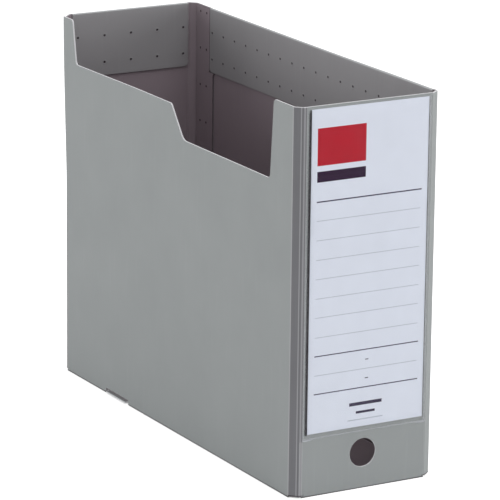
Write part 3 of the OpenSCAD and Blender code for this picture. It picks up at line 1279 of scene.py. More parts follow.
@dataclass
class TallSide:
    """The uncut long side, its hem, and the flap welded to it that closes the box."""

    hem_spots: int = 18
    spot_pitch: float = 15.6
    spots_up_flap: int = 10
    flap_column_gap: float = 8.5
    flap_pit: float = 0.3
    seam: float = 0.3
    recess_round: float = 3.0
    bow: float = -0.35

    def build(self, palette: Palette) -> None:
        """Builds the wall, the hem and the flap.

        Args:
            palette: The materials.
        """
        hem = Box.of("right_side_top_hem")
        self.build_wall(Box.of("right_side_panel"), hem, palette)
        self.build_hem(hem, Box.of("right_hem_weld_spots"), palette)
        self.build_flap(Box.of("seam_flap"), hem, Box.of("seam_weld_spots"), palette)

    def build_wall(self, wall: Box, hem: Box, palette: Palette) -> None:
        """Builds the wall. Its top steps down by one sheet under the hem's fold.

        Args:
            wall: The wall's box.
            hem: The hem's box.
            palette: The materials.
        """
        foot = wall.z0 + SHEET
        low = line((wall.y0, foot), (wall.y1, foot))
        top = under_hem(wall.y0, hem.y0, hem.y1, wall.y1, wall.z1)
        lower, upper = share_columns(low, top, 6.0, near_ends(wall.y0, wall.y1))
        patch = strip_patch(lower, upper, even_rows(wall.z1 - foot, 6.0), EDGE)
        dressing = Dressing(inside_sign=-1.0, bow=soft_bow(wall.y1, foot, hem.z0, self.bow))
        axes = along_y((wall.x0 + wall.x1) / 2)
        piece = build_sheet("tall_side_wall", axes, patch, palette.sheet, dressing)
        settle(piece, "tall_side", "grey_sheet", "right_side_panel")

    def build_hem(self, hem: Box, spots: Box, palette: Palette) -> None:
        """Builds the hem, whose spots stand at the CAD's own places.

        Args:
            hem: The hem's box.
            spots: The weld spots' box.
            palette: The materials.
        """
        weld = WeldSpots.filling(
            (spots.y0, spots.y1), (spots.z0, spots.z1), self.hem_spots, self.spot_pitch
        )
        folded = FoldedHem(hem.y0, hem.y1, hem.z0, hem.z1 - SHEET, weld)
        axes = SheetAxes((hem.x1 - SHEET, 0.0, 0.0), (-1.0, 0.0, 0.0), Z_UP, Y_ON)
        piece = folded.build("tall_side_hem", axes, palette.sheet)
        settle(piece, "tall_side", "grey_sheet", "right_side_top_hem", "right_hem_weld_spots")

    def build_flap(self, flap: Box, hem: Box, spots: Box, palette: Palette) -> None:
        """Builds the flap: u runs up it and v forward, and a round fills the corner under the hem.

        Args:
            flap: The flap's box.
            hem: The hem's box.
            spots: The weld spots' box.
            palette: The materials.
        """
        radius = (spots.y1 - spots.y0 - self.flap_column_gap) / 2
        columns = -np.array([spots.y0 + radius, spots.y1 - radius])
        heights = np.linspace(spots.z0 + radius, spots.z1 - radius, self.spots_up_flap)
        weld = WeldSpots(heights, columns, radius, depth=self.flap_pit)
        low = line((flap.z0, -flap.y1), (flap.z1, -flap.y1))
        front, step, narrow = -flap.y0, hem.z0 - self.seam, -(hem.y1 + self.seam)
        corners = [
            (flap.z0, front, 0),
            (step - self.recess_round, front, 0),
            (step, front, self.recess_round - 0.1),
            (step, front + self.recess_round, 0),
            (step + 0.02, narrow, 0),
            (flap.z1, narrow, 0),
        ]
        top = rounded(corners, closed=False)
        top[:, 0] = np.maximum.accumulate(top[:, 0])
        extra = np.concatenate([weld.lines(heights), near_ends(flap.z0, flap.z1)])
        lower, upper = share_columns(low, top, 4.0, extra)
        patch = strip_patch(lower, upper, even_rows(flap.y1 - flap.y0, 0.35), EDGE)
        middle = ((flap.x0 + flap.x1) / 2, 0.0, 0.0)
        axes = SheetAxes(middle, Z_UP, (0.0, -1.0, 0.0), (-1.0, 0.0, 0.0))
        # The flap's cut edges take painted shade where it lies against the wall
        dressing = Dressing(1.0, front=weld.lift, punched=weld.punched, shaded_edge=True)
        piece = build_sheet("seam_flap_sheet", axes, patch, palette.sheet, dressing)
        settle(piece, "tall_side", "grey_sheet", "seam_flap", "seam_weld_spots")


@dataclass
class CutOutSide:
    """The long side with the reading cut-out, and the notch for the bottom's tongue."""

    low_ledge: float = 203.2
    high_ledge: float = 224.6
    cut_front: float = 33.0
    front_lean: float = 3.8
    slope_foot: float = 145.4
    slope_top: float = 162.0
    cut_rear: float = 293.4
    rear_lean: float = 4.6
    cut_round: float = 3.0
    slope_round: float = 8.0
    tip_round: float = 3.0
    notch_gap: float = 2.6
    notch_height: float = 3.4
    notch_round: float = 1.5
    bow: float = -0.4

    def build(self, palette: Palette) -> None:
        """Builds the wall: its lower outline has the notch and its upper one the cut-out.

        Args:
            palette: The materials.
        """
        wall, tongue = Box.of("left_side_panel"), Box.of("bottom_lock_tongue")
        left, right = tongue.y0 - self.notch_gap, tongue.y1 + self.notch_gap
        notch = [
            (wall.y0, wall.z0, 0),
            (left, wall.z0, 0),
            (left, self.notch_height, self.notch_round),
            (right, self.notch_height, self.notch_round),
            (right, wall.z0, 0),
            (wall.y1, wall.z0, 0),
        ]
        face = Box.of("spine_panel").y0
        cut_out = [
            (wall.y0, wall.z1, 0),
            (face + self.cut_front - self.front_lean, wall.z1, self.tip_round),
            (face + self.cut_front, self.low_ledge, self.cut_round),
            (face + self.slope_foot, self.low_ledge, self.slope_round),
            (face + self.slope_top, self.high_ledge, self.cut_round),
            (face + self.cut_rear, self.high_ledge, self.cut_round),
            (face + self.cut_rear + self.rear_lean, wall.z1, self.tip_round),
            (wall.y1, wall.z1, 0),
        ]
        low, top = rounded(notch, closed=False), rounded(cut_out, closed=False)
        lower, upper = share_columns(low, top, 5.0, near_ends(wall.y0, wall.y1))
        patch = strip_patch(lower, upper, even_rows(wall.z1 - wall.z0, 5.0), EDGE)
        bow = soft_bow(wall.y1, wall.z0, self.low_ledge, self.bow)
        dressing = Dressing(1.0, bow=bow, shadow_below=wall.z0 + FOOT_LINE, springs=True)
        axes = along_y((wall.x0 + wall.x1) / 2)
        piece = build_sheet("cut_out_wall", axes, patch, palette.sheet, dressing)
        settle(piece, "cut_out_side", "grey_sheet", "left_side_panel")


class Ink(Enum):
    """What a cell of the label card is covered with. The values are the card's material slots."""

    PAPER = 0
    NAVY = 1
    RED = 2
    DARK = 3
    PALE = 4


@dataclass(frozen=True)
class Print:
    """A printed block of the label: left, low, right and high edges, and its ink."""

    left: float
    low: float
    right: float
    high: float
    ink: Ink


def rule(left: float, right: float, height: float, width: float, ink: Ink) -> Print:
    """A ruled line of the given width about a height."""
    return Print(left, height - width / 2, right, height + width / 2, ink)


LABEL_PRINTS = (
    Print(-37.2, 216.6, -2.1, 240.7, Ink.RED),
    Print(-37.2, 206.1, -2.1, 213.0, Ink.NAVY),
    rule(-37.2, 39.3, 193.5, 0.85, Ink.DARK),
    *(
        rule(-37.0, 38.5, height, 0.45, Ink.PALE)
        for height in (181.2, 168.6, 155.9, 143.4, 130.7, 118.2, 105.2)
    ),
    rule(-37.2, 39.3, 92.9, 0.7, Ink.DARK),
    rule(-37.0, 38.5, 80.2, 0.45, Ink.PALE),
    rule(-37.2, 39.3, 67.9, 0.7, Ink.DARK),
    rule(0.2, 2.6, 86.3, 0.6, Ink.DARK),
    rule(0.2, 2.6, 73.9, 0.6, Ink.DARK),
    Print(-11.0, 56.2, 13.0, 58.4, Ink.DARK),
    Print(-6.0, 50.8, 8.0, 52.4, Ink.DARK),
    Print(-12.0, 46.4, 14.0, 47.1, Ink.PALE),
)


@dataclass
class Spine:
    """The narrow front wall with its finger hole, and the second layer behind its foot."""

    hole_radius: float = 9.5
    hole_height: float = 24.0
    layer_hole_radius: float = 10.4
    layer_round: float = 3.0
    layer_gap: float = 0.03
    spacing: float = 2.2
    rings: int = 34
    hole_rings: tuple[float, ...] = (0.0, 0.004, 0.02)
    outer_rings: tuple[float, ...] = (0.94, 0.98, 0.997)

    def pierced(
        self, box: tuple[float, float, float, float], radius: float, round_top: float
    ) -> Patch:
        """A sheet in a box with a round hole, its grid running from the hole to the outline.

        Args:
            box: Left, low, right and high sides.
            radius: The hole's radius.
            round_top: Radius of the upper corners, or 0.

        Returns:
            The patch.
        """
        left, low, right, high = box
        upper = [(right, high, round_top), (left, high, round_top)]
        loop = rounded([(right, low, 0.0), *upper, (left, low, 0.0)])
        closed = np.concatenate([loop, loop[:1]])
        run = run_along(closed)
        places = spread(np.concatenate([run[:-1], np.arange(0, run[-1], self.spacing)]), 4, 0.05)
        outline = sample(closed, run, places)
        centre = np.array([0.0, self.hole_height])
        ray = outline - centre
        hole = centre + radius * ray / np.linalg.norm(ray, axis=1, keepdims=True)
        growing = np.linspace(0, 1, self.rings) ** 1.5
        rows = np.unique(np.concatenate([self.hole_rings, growing, self.outer_rings]))
        return ring_patch(hole, outline, rows, EDGE)

    def build(self, palette: Palette) -> None:
        """Builds the spine and the second layer.

        Args:
            palette: The materials.
        """
        wall, layer = Box.of("spine_panel"), Box.of("spine_foot_doubler")
        box = (wall.x0 + SPINE_COVER, wall.z0, wall.x1, wall.z1)
        axes = along_x((wall.y0 + wall.y1) / 2)
        dressing = Dressing(-1.0, shadow_below=wall.z0 + FOOT_LINE)
        patch = self.pierced(box, self.hole_radius, 0)
        piece = build_sheet("spine_wall", axes, patch, palette.sheet, dressing)
        settle(piece, "spine", "grey_sheet", "spine_panel")
        box = (layer.x0, layer.z0, layer.x1, layer.z1)
        axes = along_x((layer.y0 + layer.y1) / 2 + self.layer_gap)
        patch = self.pierced(box, self.layer_hole_radius, self.layer_round)
        piece = build_sheet("spine_foot_layer", axes, patch, palette.sheet, Dressing(-1.0))
        settle(piece, "spine", "grey_sheet", "spine_foot_doubler")


@dataclass
class LabelPocket:
    """The clear pocket welded to the spine, and the printed card that slides in it."""

    weld: float = 1.5
    slope: float = 1.6
    foot_slope_start: float = 0.4
    ear_length: float = 6.5
    ear_slant: float = 0.5
    ear_drop: float = 1.0
    taper: float = 0.6
    ripple: float = 0.05
    foot_weld_pale: float = 0.35
    # Painted highlights: a pale line along each side of the film, placed by distance from the card's
    # edge
    left_edge_highlight: Ridge = Ridge(0.5, 2.7, 0.25)
    right_edge_highlight: Ridge = Ridge(0.5, 1.1, 0.35)
    # Painted shade where the film folds over the card's edges, left and right
    left_gap_shade: float = 0.75
    right_gap_shade: float = 0.4

    def build(self, palette: Palette) -> None:
        """Builds the film and the card."""
        self.build_film(palette)
        self.build_card(palette)

    def build_film(self, palette: Palette) -> None:
        """Builds the film, flat along its welded sides and foot, and raised over the card.

        Its lift is the smaller of three smooth rises, from the left, the right and the lower
        edge, plus a slow ripple of two sine waves.

        Args:
            palette: The materials.
        """
        film, spine = Box.of("label_pocket_film"), Box.of("spine_panel")
        low_z, ear = film.z0 + self.ear_drop, self.ear_length + self.ear_slant
        low = line(
            (film.x0, film.z0), (film.x0 + self.ear_length, film.z0), (film.x0 + ear, low_z),
            (film.x1 - ear, low_z), (film.x1 - self.ear_length, film.z0), (film.x1, film.z0),
        )
        top = line((film.x0 + self.taper, film.z1), (film.x1 - self.taper, film.z1))
        near_side = np.linspace(0, 5, 36)
        edges = np.concatenate([film.x0 + near_side, film.x1 - near_side])
        lower, upper = share_columns(low, top, 3.0, edges)
        near_foot = np.linspace(0, 8 / (film.z1 - film.z0), 14)
        rows = np.unique(np.concatenate([near_foot, np.linspace(0, 1, 60)]))
        thin = film.y1 - film.y0
        patch = strip_patch(lower, upper, rows, thin * 0.4)
        full = spine.y0 - (film.y0 + film.y1) / 2

        def lift(u: np.ndarray, v: np.ndarray) -> np.ndarray:
            """The height of the film's middle above the spine.

            Args:
                u: Places across the film.
                v: Places up the film.

            Returns:
                The height at each place.
            """
            left = smooth((u - film.x0 - self.weld) / self.slope)
            right = smooth((film.x1 - self.weld - u) / self.slope)
            foot = smooth((v - low_z - self.foot_slope_start) / self.slope)
            raised = np.minimum(np.minimum(left, right), foot)
            waves = np.sin(u / 9.0 + v / 31.0) + np.sin(v / 17.0 - u / 23.0)
            return (full - thin) * raised + self.ripple * waves * raised + thin

        axes = SheetAxes((0.0, spine.y0, 0.0), X_ON, Z_UP, (0.0, -1.0, 0.0))
        uvw, faces, cut = thicken(patch, thin, thin * 0.4, lift)
        marks = self.film_marks(uvw, cut, film, Box.of("label_card"), low_z)
        piece = build_piece("pocket_film_sheet", axes.place(uvw), faces, [palette.film], marks)
        settle(piece, "spine", "clear_film", "label_pocket_film", "label_pocket_welds")

    def film_marks(
        self, uvw: np.ndarray, cut: np.ndarray, film: Box, card: Box, low_z: float
    ) -> dict[Mark, np.ndarray]:
        """Marks the film: painted highlights along its sides and top edge, a paler foot weld, and
        painted shade where it folds beside the card.

        Args:
            uvw: The film's points.
            cut: Each point's share of cut edge.
            film: The film's box.
            card: The card's box.
            low_z: The height of the film's foot between its ears.

        Returns:
            The values of each mark.
        """
        u, v, _ = uvw.T
        left, right = card.x0 - u, u - card.x1
        # Painted highlights along the film's sides
        ridge = np.maximum(self.left_edge_highlight.at(left), self.right_edge_highlight.at(right))
        foot = self.foot_weld_pale * (1 - smooth((v - low_z - 0.5) / 0.5))
        # Painted shade where the film folds over the card's edge
        left_gap = self.left_gap_shade * (left > 0.5) * (1 - smooth((left - 0.5) / 1.8))
        right_gap = self.right_gap_shade * (right > 0) * (1 - smooth(right / 0.7))
        beside_card = (v > card.z0 - 0.5) * (v < card.z1)
        return {
            Mark.CUT_EDGE: np.maximum(cut * (v > film.z1 - 0.5), np.maximum(ridge, foot)),
            Mark.DARK: (left_gap + right_gap) * beside_card,
        }

    def build_card(self, palette: Palette) -> None:
        """Builds the card: a grid with a line at every printed edge, and an ink for each cell.

        Args:
            palette: The materials.
        """
        card = Box.of("label_card")
        edge = 0.05
        sides = [value for block in LABEL_PRINTS for value in (block.left, block.right)]
        levels = [value for block in LABEL_PRINTS for value in (block.low, block.high)]
        columns = spread(np.concatenate([sides, np.linspace(card.x0, card.x1, 16)]), 3, 0)
        heights = spread(np.concatenate([levels, np.linspace(card.z0, card.z1, 30)]), 3, 0)
        low = np.stack([columns, np.full_like(columns, card.z0)], axis=1)
        top = np.stack([columns, np.full_like(columns, card.z1)], axis=1)
        patch = strip_patch(low, top, (heights - card.z0) / (card.z1 - card.z0), edge)
        uvw, faces, cut = thicken(patch, card.y1 - card.y0, edge)
        u, v = patch.points[patch.quads].mean(axis=1).T
        face_slots = np.zeros(len(faces), int)
        for block in LABEL_PRINTS:
            inside = (u > block.left) & (u < block.right) & (v > block.low) & (v < block.high)
            face_slots[: len(u)][inside] = block.ink.value
        materials = [palette.paper, palette.navy, palette.red, palette.dark_ink, palette.pale_ink]
        points = along_x((card.y0 + card.y1) / 2).place(uvw)
        marks = {Mark.CUT_EDGE: cut}
        piece = build_piece("printed_card", points, faces, materials, marks, face_slots)
        settle(piece, "label", "label_paper", "label_card")


@dataclass
class RearWall:
    """The narrow rear wall and its hem."""

    spots_across: int = 5
    spot_pitch: float = 20.6

    def build(self, palette: Palette) -> None:
        """Builds the wall and the hem.

        Args:
            palette: The materials.
        """
        wall, hem = Box.of("rear_panel"), Box.of("rear_top_hem")
        spots = Box.of("rear_hem_weld_spots")
        low = line((wall.x0, wall.z0), (wall.x1, wall.z0))
        top = under_hem(wall.x0, hem.x0, hem.x1, wall.x1, wall.z1)
        lower, upper = share_columns(low, top, 5.0, near_ends(wall.x0, wall.x1))
        patch = strip_patch(lower, upper, even_rows(wall.z1 - wall.z0, 6.0), EDGE)
        axes = along_x((wall.y0 + wall.y1) / 2)
        dressing = Dressing(1.0, shadow_below=wall.z0 + FOOT_LINE)
        piece = build_sheet("rear_wall_sheet", axes, patch, palette.sheet, dressing)
        settle(piece, "rear_wall", "grey_sheet", "rear_panel")
        weld = WeldSpots.filling(
            (spots.x0, spots.x1), (spots.z0, spots.z1), self.spots_across, self.spot_pitch
        )
        folded = FoldedHem(hem.x0, hem.x1, hem.z0, hem.z1 - SHEET, weld)
        axes = SheetAxes((0.0, hem.y1 - SHEET, 0.0), (0.0, -1.0, 0.0), Z_UP, X_ON)
        piece = folded.build("rear_wall_hem", axes, palette.sheet)
        settle(piece, "rear_wall", "grey_sheet", "rear_top_hem", "rear_hem_weld_spots")


@dataclass
class Bottom:
    """The bottom panel with its tongue, and the crease that it hangs on."""

    tip_round: float = 0.8
    tongue_rise: float = 0.8
    crease_reach: float = 0.8
    bend_radius: float = 0.45

    def build(self, palette: Palette) -> None:
        """Builds the panel and its crease."""
        self.build_panel(palette)
        self.build_crease(palette)

    def build_panel(self, palette: Palette) -> None:
        """Builds the panel with its tongue: u runs to the rear and v to the cut-out side.

        The panel's corners are cut off, and it rises smoothly towards the tongue.

        Args:
            palette: The materials.
        """
        panel, tongue, side = (
            Box.of(node) for node in ("bottom_panel", "bottom_lock_tongue", "left_side_panel")
        )
        corner = side.y0 - panel.y0
        low = line(
            (panel.y0, corner - panel.x1), (side.y0, -panel.x1),
            (side.y1, -panel.x1), (panel.y1, corner - panel.x1),
        )
        free_edge = [
            (panel.y0, -panel.x0 - corner, 0),
            (side.y0, -panel.x0, 0),
            (tongue.y0, -panel.x0, 0),
            (tongue.y0 + 0.01, -tongue.x0, self.tip_round),
            (tongue.y1 - 0.01, -tongue.x0, self.tip_round),
            (tongue.y1, -panel.x0, 0),
            (side.y1, -panel.x0, 0),
            (panel.y1, -panel.x0 - corner, 0),
        ]
        top = rounded(free_edge, closed=False)
        lower, upper = share_columns(low, top, 6.0, near_ends(panel.y0, panel.y1))
        patch = strip_patch(lower, upper, even_rows(panel.x1 - panel.x0, 6.0), EDGE)
        axes = SheetAxes((0.0, 0.0, (panel.z0 + panel.z1) / 2), Y_ON, (-1.0, 0.0, 0.0), Z_UP)

        def rise(u: np.ndarray, v: np.ndarray) -> np.ndarray:
            """The lift at each place."""
            near = smooth((u - tongue.y0 + 12) / 10) * smooth((tongue.y1 + 12 - u) / 10)
            return self.tongue_rise * near * smooth((v + panel.x0 + 6) / 6)

        dressing = Dressing(1.0, bow=rise, inside_until=-panel.x0 - 0.4)
        piece = build_sheet("bottom_sheet", axes, patch, palette.sheet, dressing)
        settle(piece, "bottom", "grey_sheet", "bottom_panel", "bottom_lock_tongue")

    def build_crease(self, palette: Palette) -> None:
        """Builds the crease: a sheet carried round a quarter turn from the wall to the panel.

        Args:
            palette: The materials.
        """
        wall, panel = Box.of("right_side_panel"), Box.of("bottom_panel")
        x, z = (wall.x0 + wall.x1) / 2, wall.z0 + HALF
        path = [(x, wall.z0 + SHEET, 0), (x, z, self.bend_radius), (panel.x1, z, 0)]
        middle = rounded(path, steps=10, closed=False)
        profile, inside = thick_line(middle, HALF * 0.98, np.array([x - 10, z + 10]))
        stations = with_supports(np.linspace(wall.y0 + EDGE, wall.y1 - EDGE, 60))
        profiles = np.repeat(profile[None], len(stations), axis=0)
        points, faces, cut = sweep(profiles, stations, EDGE)
        # The fold takes half the pale crease mark over the darker finish: painted highlight on painted
        # shade
        marks = {
            Mark.CUT_EDGE: cut,
            Mark.INSIDE: np.resize(inside, len(points)),
            Mark.CREASE: np.full(len(points), 0.5),
        }
        axes = SheetAxes((0.0, 0.0, 0.0), X_ON, Z_UP, Y_ON)
        piece = build_piece("foot_crease", axes.place(points), faces, [palette.crease], marks)
        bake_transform(piece)
        LOG.info("foot_crease bends between tall_side and bottom")


def densified(path: np.ndarray, spacing: float) -> np.ndarray:
    """The same open line, with further points at even distances along it."""
    run = run_along(path)
    return sample(path, run, spread(np.concatenate([run, np.arange(0, run[-1], spacing)]), 4, 0.02))


def thick_line(
    middle: np.ndarray, half: float, inner_point: np.ndarray
) -> tuple[np.ndarray, np.ndarray]:
    """Gives an open line a thickness.

    Its normals are its tangents turned by a quarter, and the two sides are the line plus and
    minus half along them.

    Args:
        middle: The line's points.
        half: Half of the thickness.
        inner_point: A point on the inner side.

    Returns:
        The closed outline, anticlockwise, and 1 for each of its points on the inner side.
    """
    tangent = np.gradient(middle, axis=0)
    tangent[0], tangent[-1] = middle[1] - middle[0], middle[-1] - middle[-2]
    tangent /= np.linalg.norm(tangent, axis=1, keepdims=True)
    normal = np.stack([tangent[:, 1], -tangent[:, 0]], axis=1)
    if np.sum(normal[len(normal) // 2] * (inner_point - middle[len(middle) // 2])) > 0:
        normal = -normal
    loop = np.concatenate([middle + half * normal, (middle - half * normal)[::-1]])
    inside = np.concatenate([np.zeros(len(middle)), np.ones(len(middle))])
    if signed_area(loop) < 0:
        return loop[::-1], inside[::-1]
    return loop, inside


@dataclass(frozen=True)
class Corner:
    """One upright corner: its CAD node, its body, the bodies it joins, and its sides' signs."""

    node: str
    body: str
    long_wall: str | None
    short_wall: str
    side: int
    end: int


CORNERS = (
    Corner("front_right_strip", "front_right_corner", "tall_side", "spine", 1, -1),
    Corner("front_left_strip", "front_left_corner", "cut_out_side", "spine", -1, -1),
    Corner("rear_right_strip", "rear_right_corner", "tall_side", "rear_wall", 1, 1),
    Corner("rear_left_strip", "rear_left_corner", None, "rear_wall", -1, 1),
)


@dataclass(frozen=True)
class CornerHalf:
    """One half of a corner, in plan: its crease, its wall's direction and its strip's middle.

    The wall's body is None where the box has no joint.
    """

    corner: Corner
    kind: str
    wall: str | None
    crease: np.ndarray
    into_wall: np.ndarray
    middle: np.ndarray

    @property
    def into_strip(self) -> np.ndarray:
        """The direction from the crease to the strip's middle."""
        return (self.middle - self.crease) / np.linalg.norm(self.middle - self.crease)


@dataclass
class CornerCreases:
    """The slanted strips of the four corners. Each is made of two halves, one for each crease.

    A half covers the end of its wall, its crease and the strip as far as the strip's middle.
    Where the box has no joint, it ends in a bead.
    """

    reach: float = 0.8
    bend_radius: float = 0.95
    bend_steps: int = 8
    point_spacing: float = 0.2
    inner_share: float = 0.15
    # Pale lines are painted highlights along a crease; dark lines are painted shade in its groove and
    # under the film's edge
    right_line: Ridge = Ridge(0.35, 0.0, 0.4)
    pale_lines: tuple[Ridge, ...] = (Ridge(0.8, -1.4, 0.3), Ridge(0.45, 0.5, 0.6))
    dark_lines: tuple[Ridge, ...] = (Ridge(0.25, 1.95, 0.25), Ridge(0.15, -0.75, 0.25))
    # The wall side of a left crease is painted paler than its shaded strip, below the film and along
    # the step
    bare_pale: float = 0.42
    bare_line: Ridge = Ridge(0.35, 0.2, 0.3)
    step_pale: float = 0.65

    def build(self, palette: Palette) -> None:
        """Builds both halves of every corner.

        Args:
            palette: The materials.
        """
        tall, spine = Box.of("right_side_panel"), Box.of("spine_panel")
        strip = Box.of("front_right_strip")
        mid_x, mid_y = (tall.x0 + tall.x1) / 2, -(spine.y0 + spine.y1) / 2
        crease_x, crease_y = strip.x0 + HALF, -(strip.y1 - HALF)
        for corner in CORNERS:
            long_crease = np.array([corner.side * mid_x, corner.end * crease_y])
            short_crease = np.array([corner.side * crease_x, corner.end * mid_y])
            middle = (long_crease + short_crease) / 2
            to_long, to_short = np.array([0.0, -corner.end]), np.array([-corner.side, 0.0])
            for half in (
                CornerHalf(corner, "long", corner.long_wall, long_crease, to_long, middle),
                CornerHalf(corner, "short", corner.short_wall, short_crease, to_short, middle),
            ):
                self.build_half(half, palette)

    def build_half(self, half: CornerHalf, palette: Palette) -> None:
        """Builds one half, as a section swept up the corner's height.

        Args:
            half: The half.
            palette: The materials.
        """
        corner, node = half.corner, Box.of(half.corner.node)
        profile, inside = self.section(half)
        film_foot = Box.of("label_pocket_film").z0
        extra = [node.z0 + FOOT_ROW - 0.3, node.z0 + FOOT_ROW, film_foot - 0.3, film_foot + 0.3]
        heights = np.concatenate([np.linspace(node.z0, node.z1, 40), extra])
        stations = with_supports(np.unique(heights))
        profiles = np.repeat(profile[None], len(stations), axis=0)
        points, faces, cut = sweep(profiles, stations, EDGE)
        inside = np.resize(inside, len(points))
        light, dark = self.pressed(half, points, film_foot)
        outer = 1 - (1 - self.inner_share) * inside
        # A painted shadow line along the foot, in place of the pale cut edge
        low = points[:, 2] < node.z0 + FOOT_LINE
        # Painted highlights on cut ends and crease lines; painted shade in crease lines and along the
        # foot
        marks = {
            Mark.CUT_EDGE: cut * ~low,
            Mark.INSIDE: inside,
            Mark.CREASE: light * outer,
            Mark.DARK: np.maximum(dark * outer, FOOT_SHADOW * low),
        }
        axes = SheetAxes((0.0, 0.0, 0.0), X_ON, Y_ON, Z_UP)
        # The left corners take the darker finish, which is painted shade; the right ones the sheet's
        slot = "grey_sheet" if corner.side > 0 else "grey_crease"
        material = palette.sheet if corner.side > 0 else palette.crease
        name = f"{corner.body}_{half.kind}_crease"
        piece = build_piece(name, axes.place(points), faces, [material], marks)
        if half.wall is None:
            settle(piece, corner.body, slot, corner.node)
            return
        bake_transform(piece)
        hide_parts(corner.node)
        LOG.info("%s bends between %s and %s", name, half.wall, corner.body)

    def section(self, half: CornerHalf) -> tuple[np.ndarray, np.ndarray]:
        """A half's section in plan: bent at its crease, or ending in a bead at the open one.

        Args:
            half: The half.

        Returns:
            The closed outline, anticlockwise, and 1 for each point on the inner side.
        """
        centre = np.zeros(2)
        if half.wall is None:
            return self.beaded(np.linspace(half.crease, half.middle, 12), centre)
        wide = half.wall == "spine" and half.corner.side < 0
        tip = half.crease + half.into_wall * (self.reach + SPINE_COVER * wide)
        bend = [(*tip, 0), (*half.crease, self.bend_radius), (*half.middle, 0)]
        path = densified(rounded(bend, self.bend_steps, closed=False), self.point_spacing)
        return thick_line(path, HALF, centre)

    def pressed(
        self, half: CornerHalf, points: np.ndarray, film_foot: float
    ) -> tuple[np.ndarray, np.ndarray]:
        """How pale and how dark the lines pressed along a half's crease are: painted highlights and
        painted shade.

        They go by the distance from the crease: positive into the wall, negative into the strip.

        Args:
            half: The half.
            points: Its points.
            film_foot: The height below which the label's film doesn't cover the crease.

        Returns:
            The pale and the dark share at each point.
        """
        plan = points[:, :2] - half.crease
        ahead = plan @ half.into_wall
        away = np.where(ahead > 0, ahead, -np.linalg.norm(plan, axis=1))
        none = np.zeros_like(away)
        if half.corner.side > 0:
            return self.right_line.at(away), none
        if half.kind == "long" or half.wall is None:
            return self.step_pale * smooth((away + 0.35) / 0.5), none
        light = sum(ridge.at(away) for ridge in self.pale_lines)
        dark = sum(ridge.at(away) for ridge in self.dark_lines)
        bare = (points[:, 2] < film_foot) & (away > 0)
        bare_light = self.bare_pale + self.bare_line.at(away)
        return np.where(bare, bare_light, light), np.where(bare, 0.0, dark)

    def beaded(self, path: np.ndarray, centre: np.ndarray) -> tuple[np.ndarray, np.ndarray]:
        """A strip's section whose first end is a half round about the path's first point.

        Args:
            path: The strip's middle line.
            centre: The box's centre in plan.

        Returns:
            The closed outline, anticlockwise, and 1 for each point on the inner side.
        """
        loop, inside = thick_line(path, HALF, centre)
        away = (path[0] - path[-1]) / np.linalg.norm(path[0] - path[-1])
        start = math.atan2(away[1], away[0])
        turn = start + np.linspace(-math.pi / 2, math.pi / 2, 11)[1:-1]
        bead = path[0] + HALF * np.stack([np.cos(turn), np.sin(turn)], axis=1)
        gaps = np.linalg.norm(np.roll(loop, -1, axis=0) - loop, axis=1)
        mids = (np.roll(loop, -1, axis=0) + loop) / 2
        to_start = np.linalg.norm(mids - path[0], axis=1)
        at = int(np.argmin(np.where(gaps > HALF * 1.9, to_start, 1e9)))
        loop = np.concatenate([loop[: at + 1], bead, loop[at + 1 :]])
        inside = np.concatenate([inside[: at + 1], np.full(len(bead), 0.5), inside[at + 1 :]])
        return loop, inside


# ---------------------------------------------------------------- studio


def direction(azimuth: float, elevation: float) -> Vector:
    """The unit vector from the object to a place: azimuth 0 is the front, 90 the right side.

    Args:
        azimuth: Degrees round the upright axis.
        elevation: Degrees above the floor.

    Returns:
        The vector.
    """
    a, e = math.radians(azimuth), math.radians(elevation)
    return Vector((math.sin(a) * math.cos(e), -math.cos(a) * math.cos(e), math.sin(e)))


@dataclass(frozen=True)
class SoftLight:
    """A large soft lamp: where it stands, measured from the object, and how strong it is."""

    name: str
    azimuth: float
    elevation: float
    distance: float
    size: float
    power: float
    colour: Rgb = (1.0, 1.0, 1.0)

    def build(self, target: Vector) -> None:
        """Stands the lamp in place, turned to the target.

        Args:
            target: The object's centre.
        """
        away = direction(self.azimuth, self.elevation)
        data = bpy.data.lights.new(self.name, "AREA")
        data.shape, data.size = "SQUARE", self.size
        data.energy, data.color = self.power, self.colour
        lamp = bpy.data.objects.new(self.name, data)
        lamp.location = target + away * self.distance
        lamp.rotation_euler = (-away).to_track_quat("-Z", "Y").to_euler()
        bpy.context.scene.collection.objects.link(lamp)


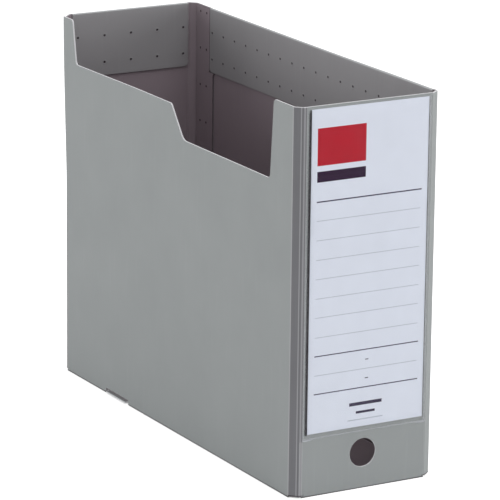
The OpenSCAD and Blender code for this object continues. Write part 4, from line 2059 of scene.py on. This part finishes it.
@dataclass
class Studio:
    """A plain pale floor, soft lamps and the camera."""

    azimuth: float = -30.083
    elevation: float = 15.472
    roll: float = 0.646
    distance: float = 2.41937
    lens: float = 260.86
    aim: tuple[float, float, float] = (0.00446, -0.00497, -0.00746)
    sensor: float = 36.0
    floor_size: float = 12.0
    floor_drop: float = 0.0002
    floor_tones: tuple[float, float] = (0.90, 0.93)
    floor_glow: float = 0.6
    world_strength: float = 0.5
    lights: tuple[SoftLight, ...] = (
        SoftLight("left_lamp", -132.0, 10.0, 2.2, 1.2, 13.0),
        SoftLight("right_lamp", 62.0, 14.0, 2.2, 1.2, 13.5),
        SoftLight("top_lamp", 20.0, 72.0, 2.0, 1.4, 17.0),
    )

    def build(self, centre: Vector) -> None:
        """Builds the floor, the world, the lamps and the camera.

        Args:
            centre: The object's centre.
        """
        self.build_floor()
        self.build_world()
        for light in self.lights:
            light.build(centre)
        self.build_camera(centre)
        bpy.context.scene.view_settings.view_transform = "Standard"

    def build_floor(self) -> None:
        """A square grid just under the object's foot."""
        side = np.linspace(-self.floor_size / 2, self.floor_size / 2, 3)
        x, y = np.meshgrid(side, side)
        points = np.stack([x.ravel(), y.ravel(), np.full(x.size, -self.floor_drop)], axis=1)
        n = np.arange(9).reshape(3, 3)
        quads = np.stack([n[:-1, :-1], n[:-1, 1:], n[1:, 1:], n[1:, :-1]], axis=-1)
        mesh = bpy.data.meshes.new("floor")
        mesh.from_pydata(points.tolist(), [], quads.reshape(-1, 4).tolist())
        material, bench, shader, place = new_material("pale_floor")
        dark, pale = ((tone, tone, tone, 1.0) for tone in self.floor_tones)
        tone = bench.mix(bench.noise(place, 6.0, 2.0), dark, pale)
        bench.tree.links.new(tone, shader.inputs["Base Color"])
        shader.inputs["Roughness"].default_value = 0.8
        shader.inputs["Specular IOR Level"].default_value = 0.1
        shader.inputs["Emission Color"].default_value = (1.0, 1.0, 1.0, 1.0)
        seen = bench.add("ShaderNodeLightPath").outputs["Is Camera Ray"]
        glow = bench.math("MULTIPLY", seen, self.floor_glow)
        bench.tree.links.new(glow, shader.inputs["Emission Strength"])
        mesh.materials.append(material)
        floor = bpy.data.objects.new("floor", mesh)
        bpy.context.scene.collection.objects.link(floor)
        floor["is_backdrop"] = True

    def build_world(self) -> None:
        """An even pale world, brighter to the camera than as a light."""
        world = bpy.data.worlds.new("pale_world")
        world.use_nodes = True
        world.node_tree.nodes.clear()
        bench = Bench(world.node_tree)
        seen = bench.add("ShaderNodeLightPath").outputs["Is Camera Ray"]
        more = bench.math("MULTIPLY", seen, 1.0 - self.world_strength)
        strength = bench.math("ADD", more, self.world_strength)
        white = (1.0, 1.0, 1.0, 1.0)
        back = bench.add("ShaderNodeBackground", {"Color": white, "Strength": strength})
        bench.add("ShaderNodeOutputWorld", {"Surface": back.outputs[0]})
        bpy.context.scene.world = world

    def build_camera(self, centre: Vector) -> None:
        """Builds the camera, with a long lens. The roll turns it about its line of sight.

        Args:
            centre: The object's centre.
        """
        away = direction(self.azimuth, self.elevation)
        target = centre + Vector(self.aim)
        right = (-away).cross(Vector(Z_UP)).normalized()
        upward = right.cross(-away)
        turn = math.radians(self.roll)
        camera_x = math.cos(turn) * right + math.sin(turn) * upward
        camera_y = math.cos(turn) * upward - math.sin(turn) * right
        axes = Matrix((camera_x, camera_y, away)).transposed().to_4x4()
        data = bpy.data.cameras.new("camera")
        data.lens, data.sensor_width = self.lens, self.sensor
        camera = bpy.data.objects.new("camera", data)
        camera.matrix_world = Matrix.Translation(target + away * self.distance) @ axes
        bpy.context.scene.collection.objects.link(camera)
        bpy.context.scene.camera = camera


def main() -> None:
    """Builds every sub-assembly in order, then the studio."""
    logging.basicConfig(level=logging.INFO, format="%(name)s: %(message)s")
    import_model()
    cad_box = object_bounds()
    palette = Palette.mix()
    walls = (TallSide(), CutOutSide(), Spine(), LabelPocket(), RearWall())
    for assembly in (*walls, Bottom(), CornerCreases()):
        LOG.info("building %s", type(assembly).__name__)
        assembly.build(palette)
    Studio().build((cad_box[0] + cad_box[1]) / 2)


if __name__ == "__main__":
    main()
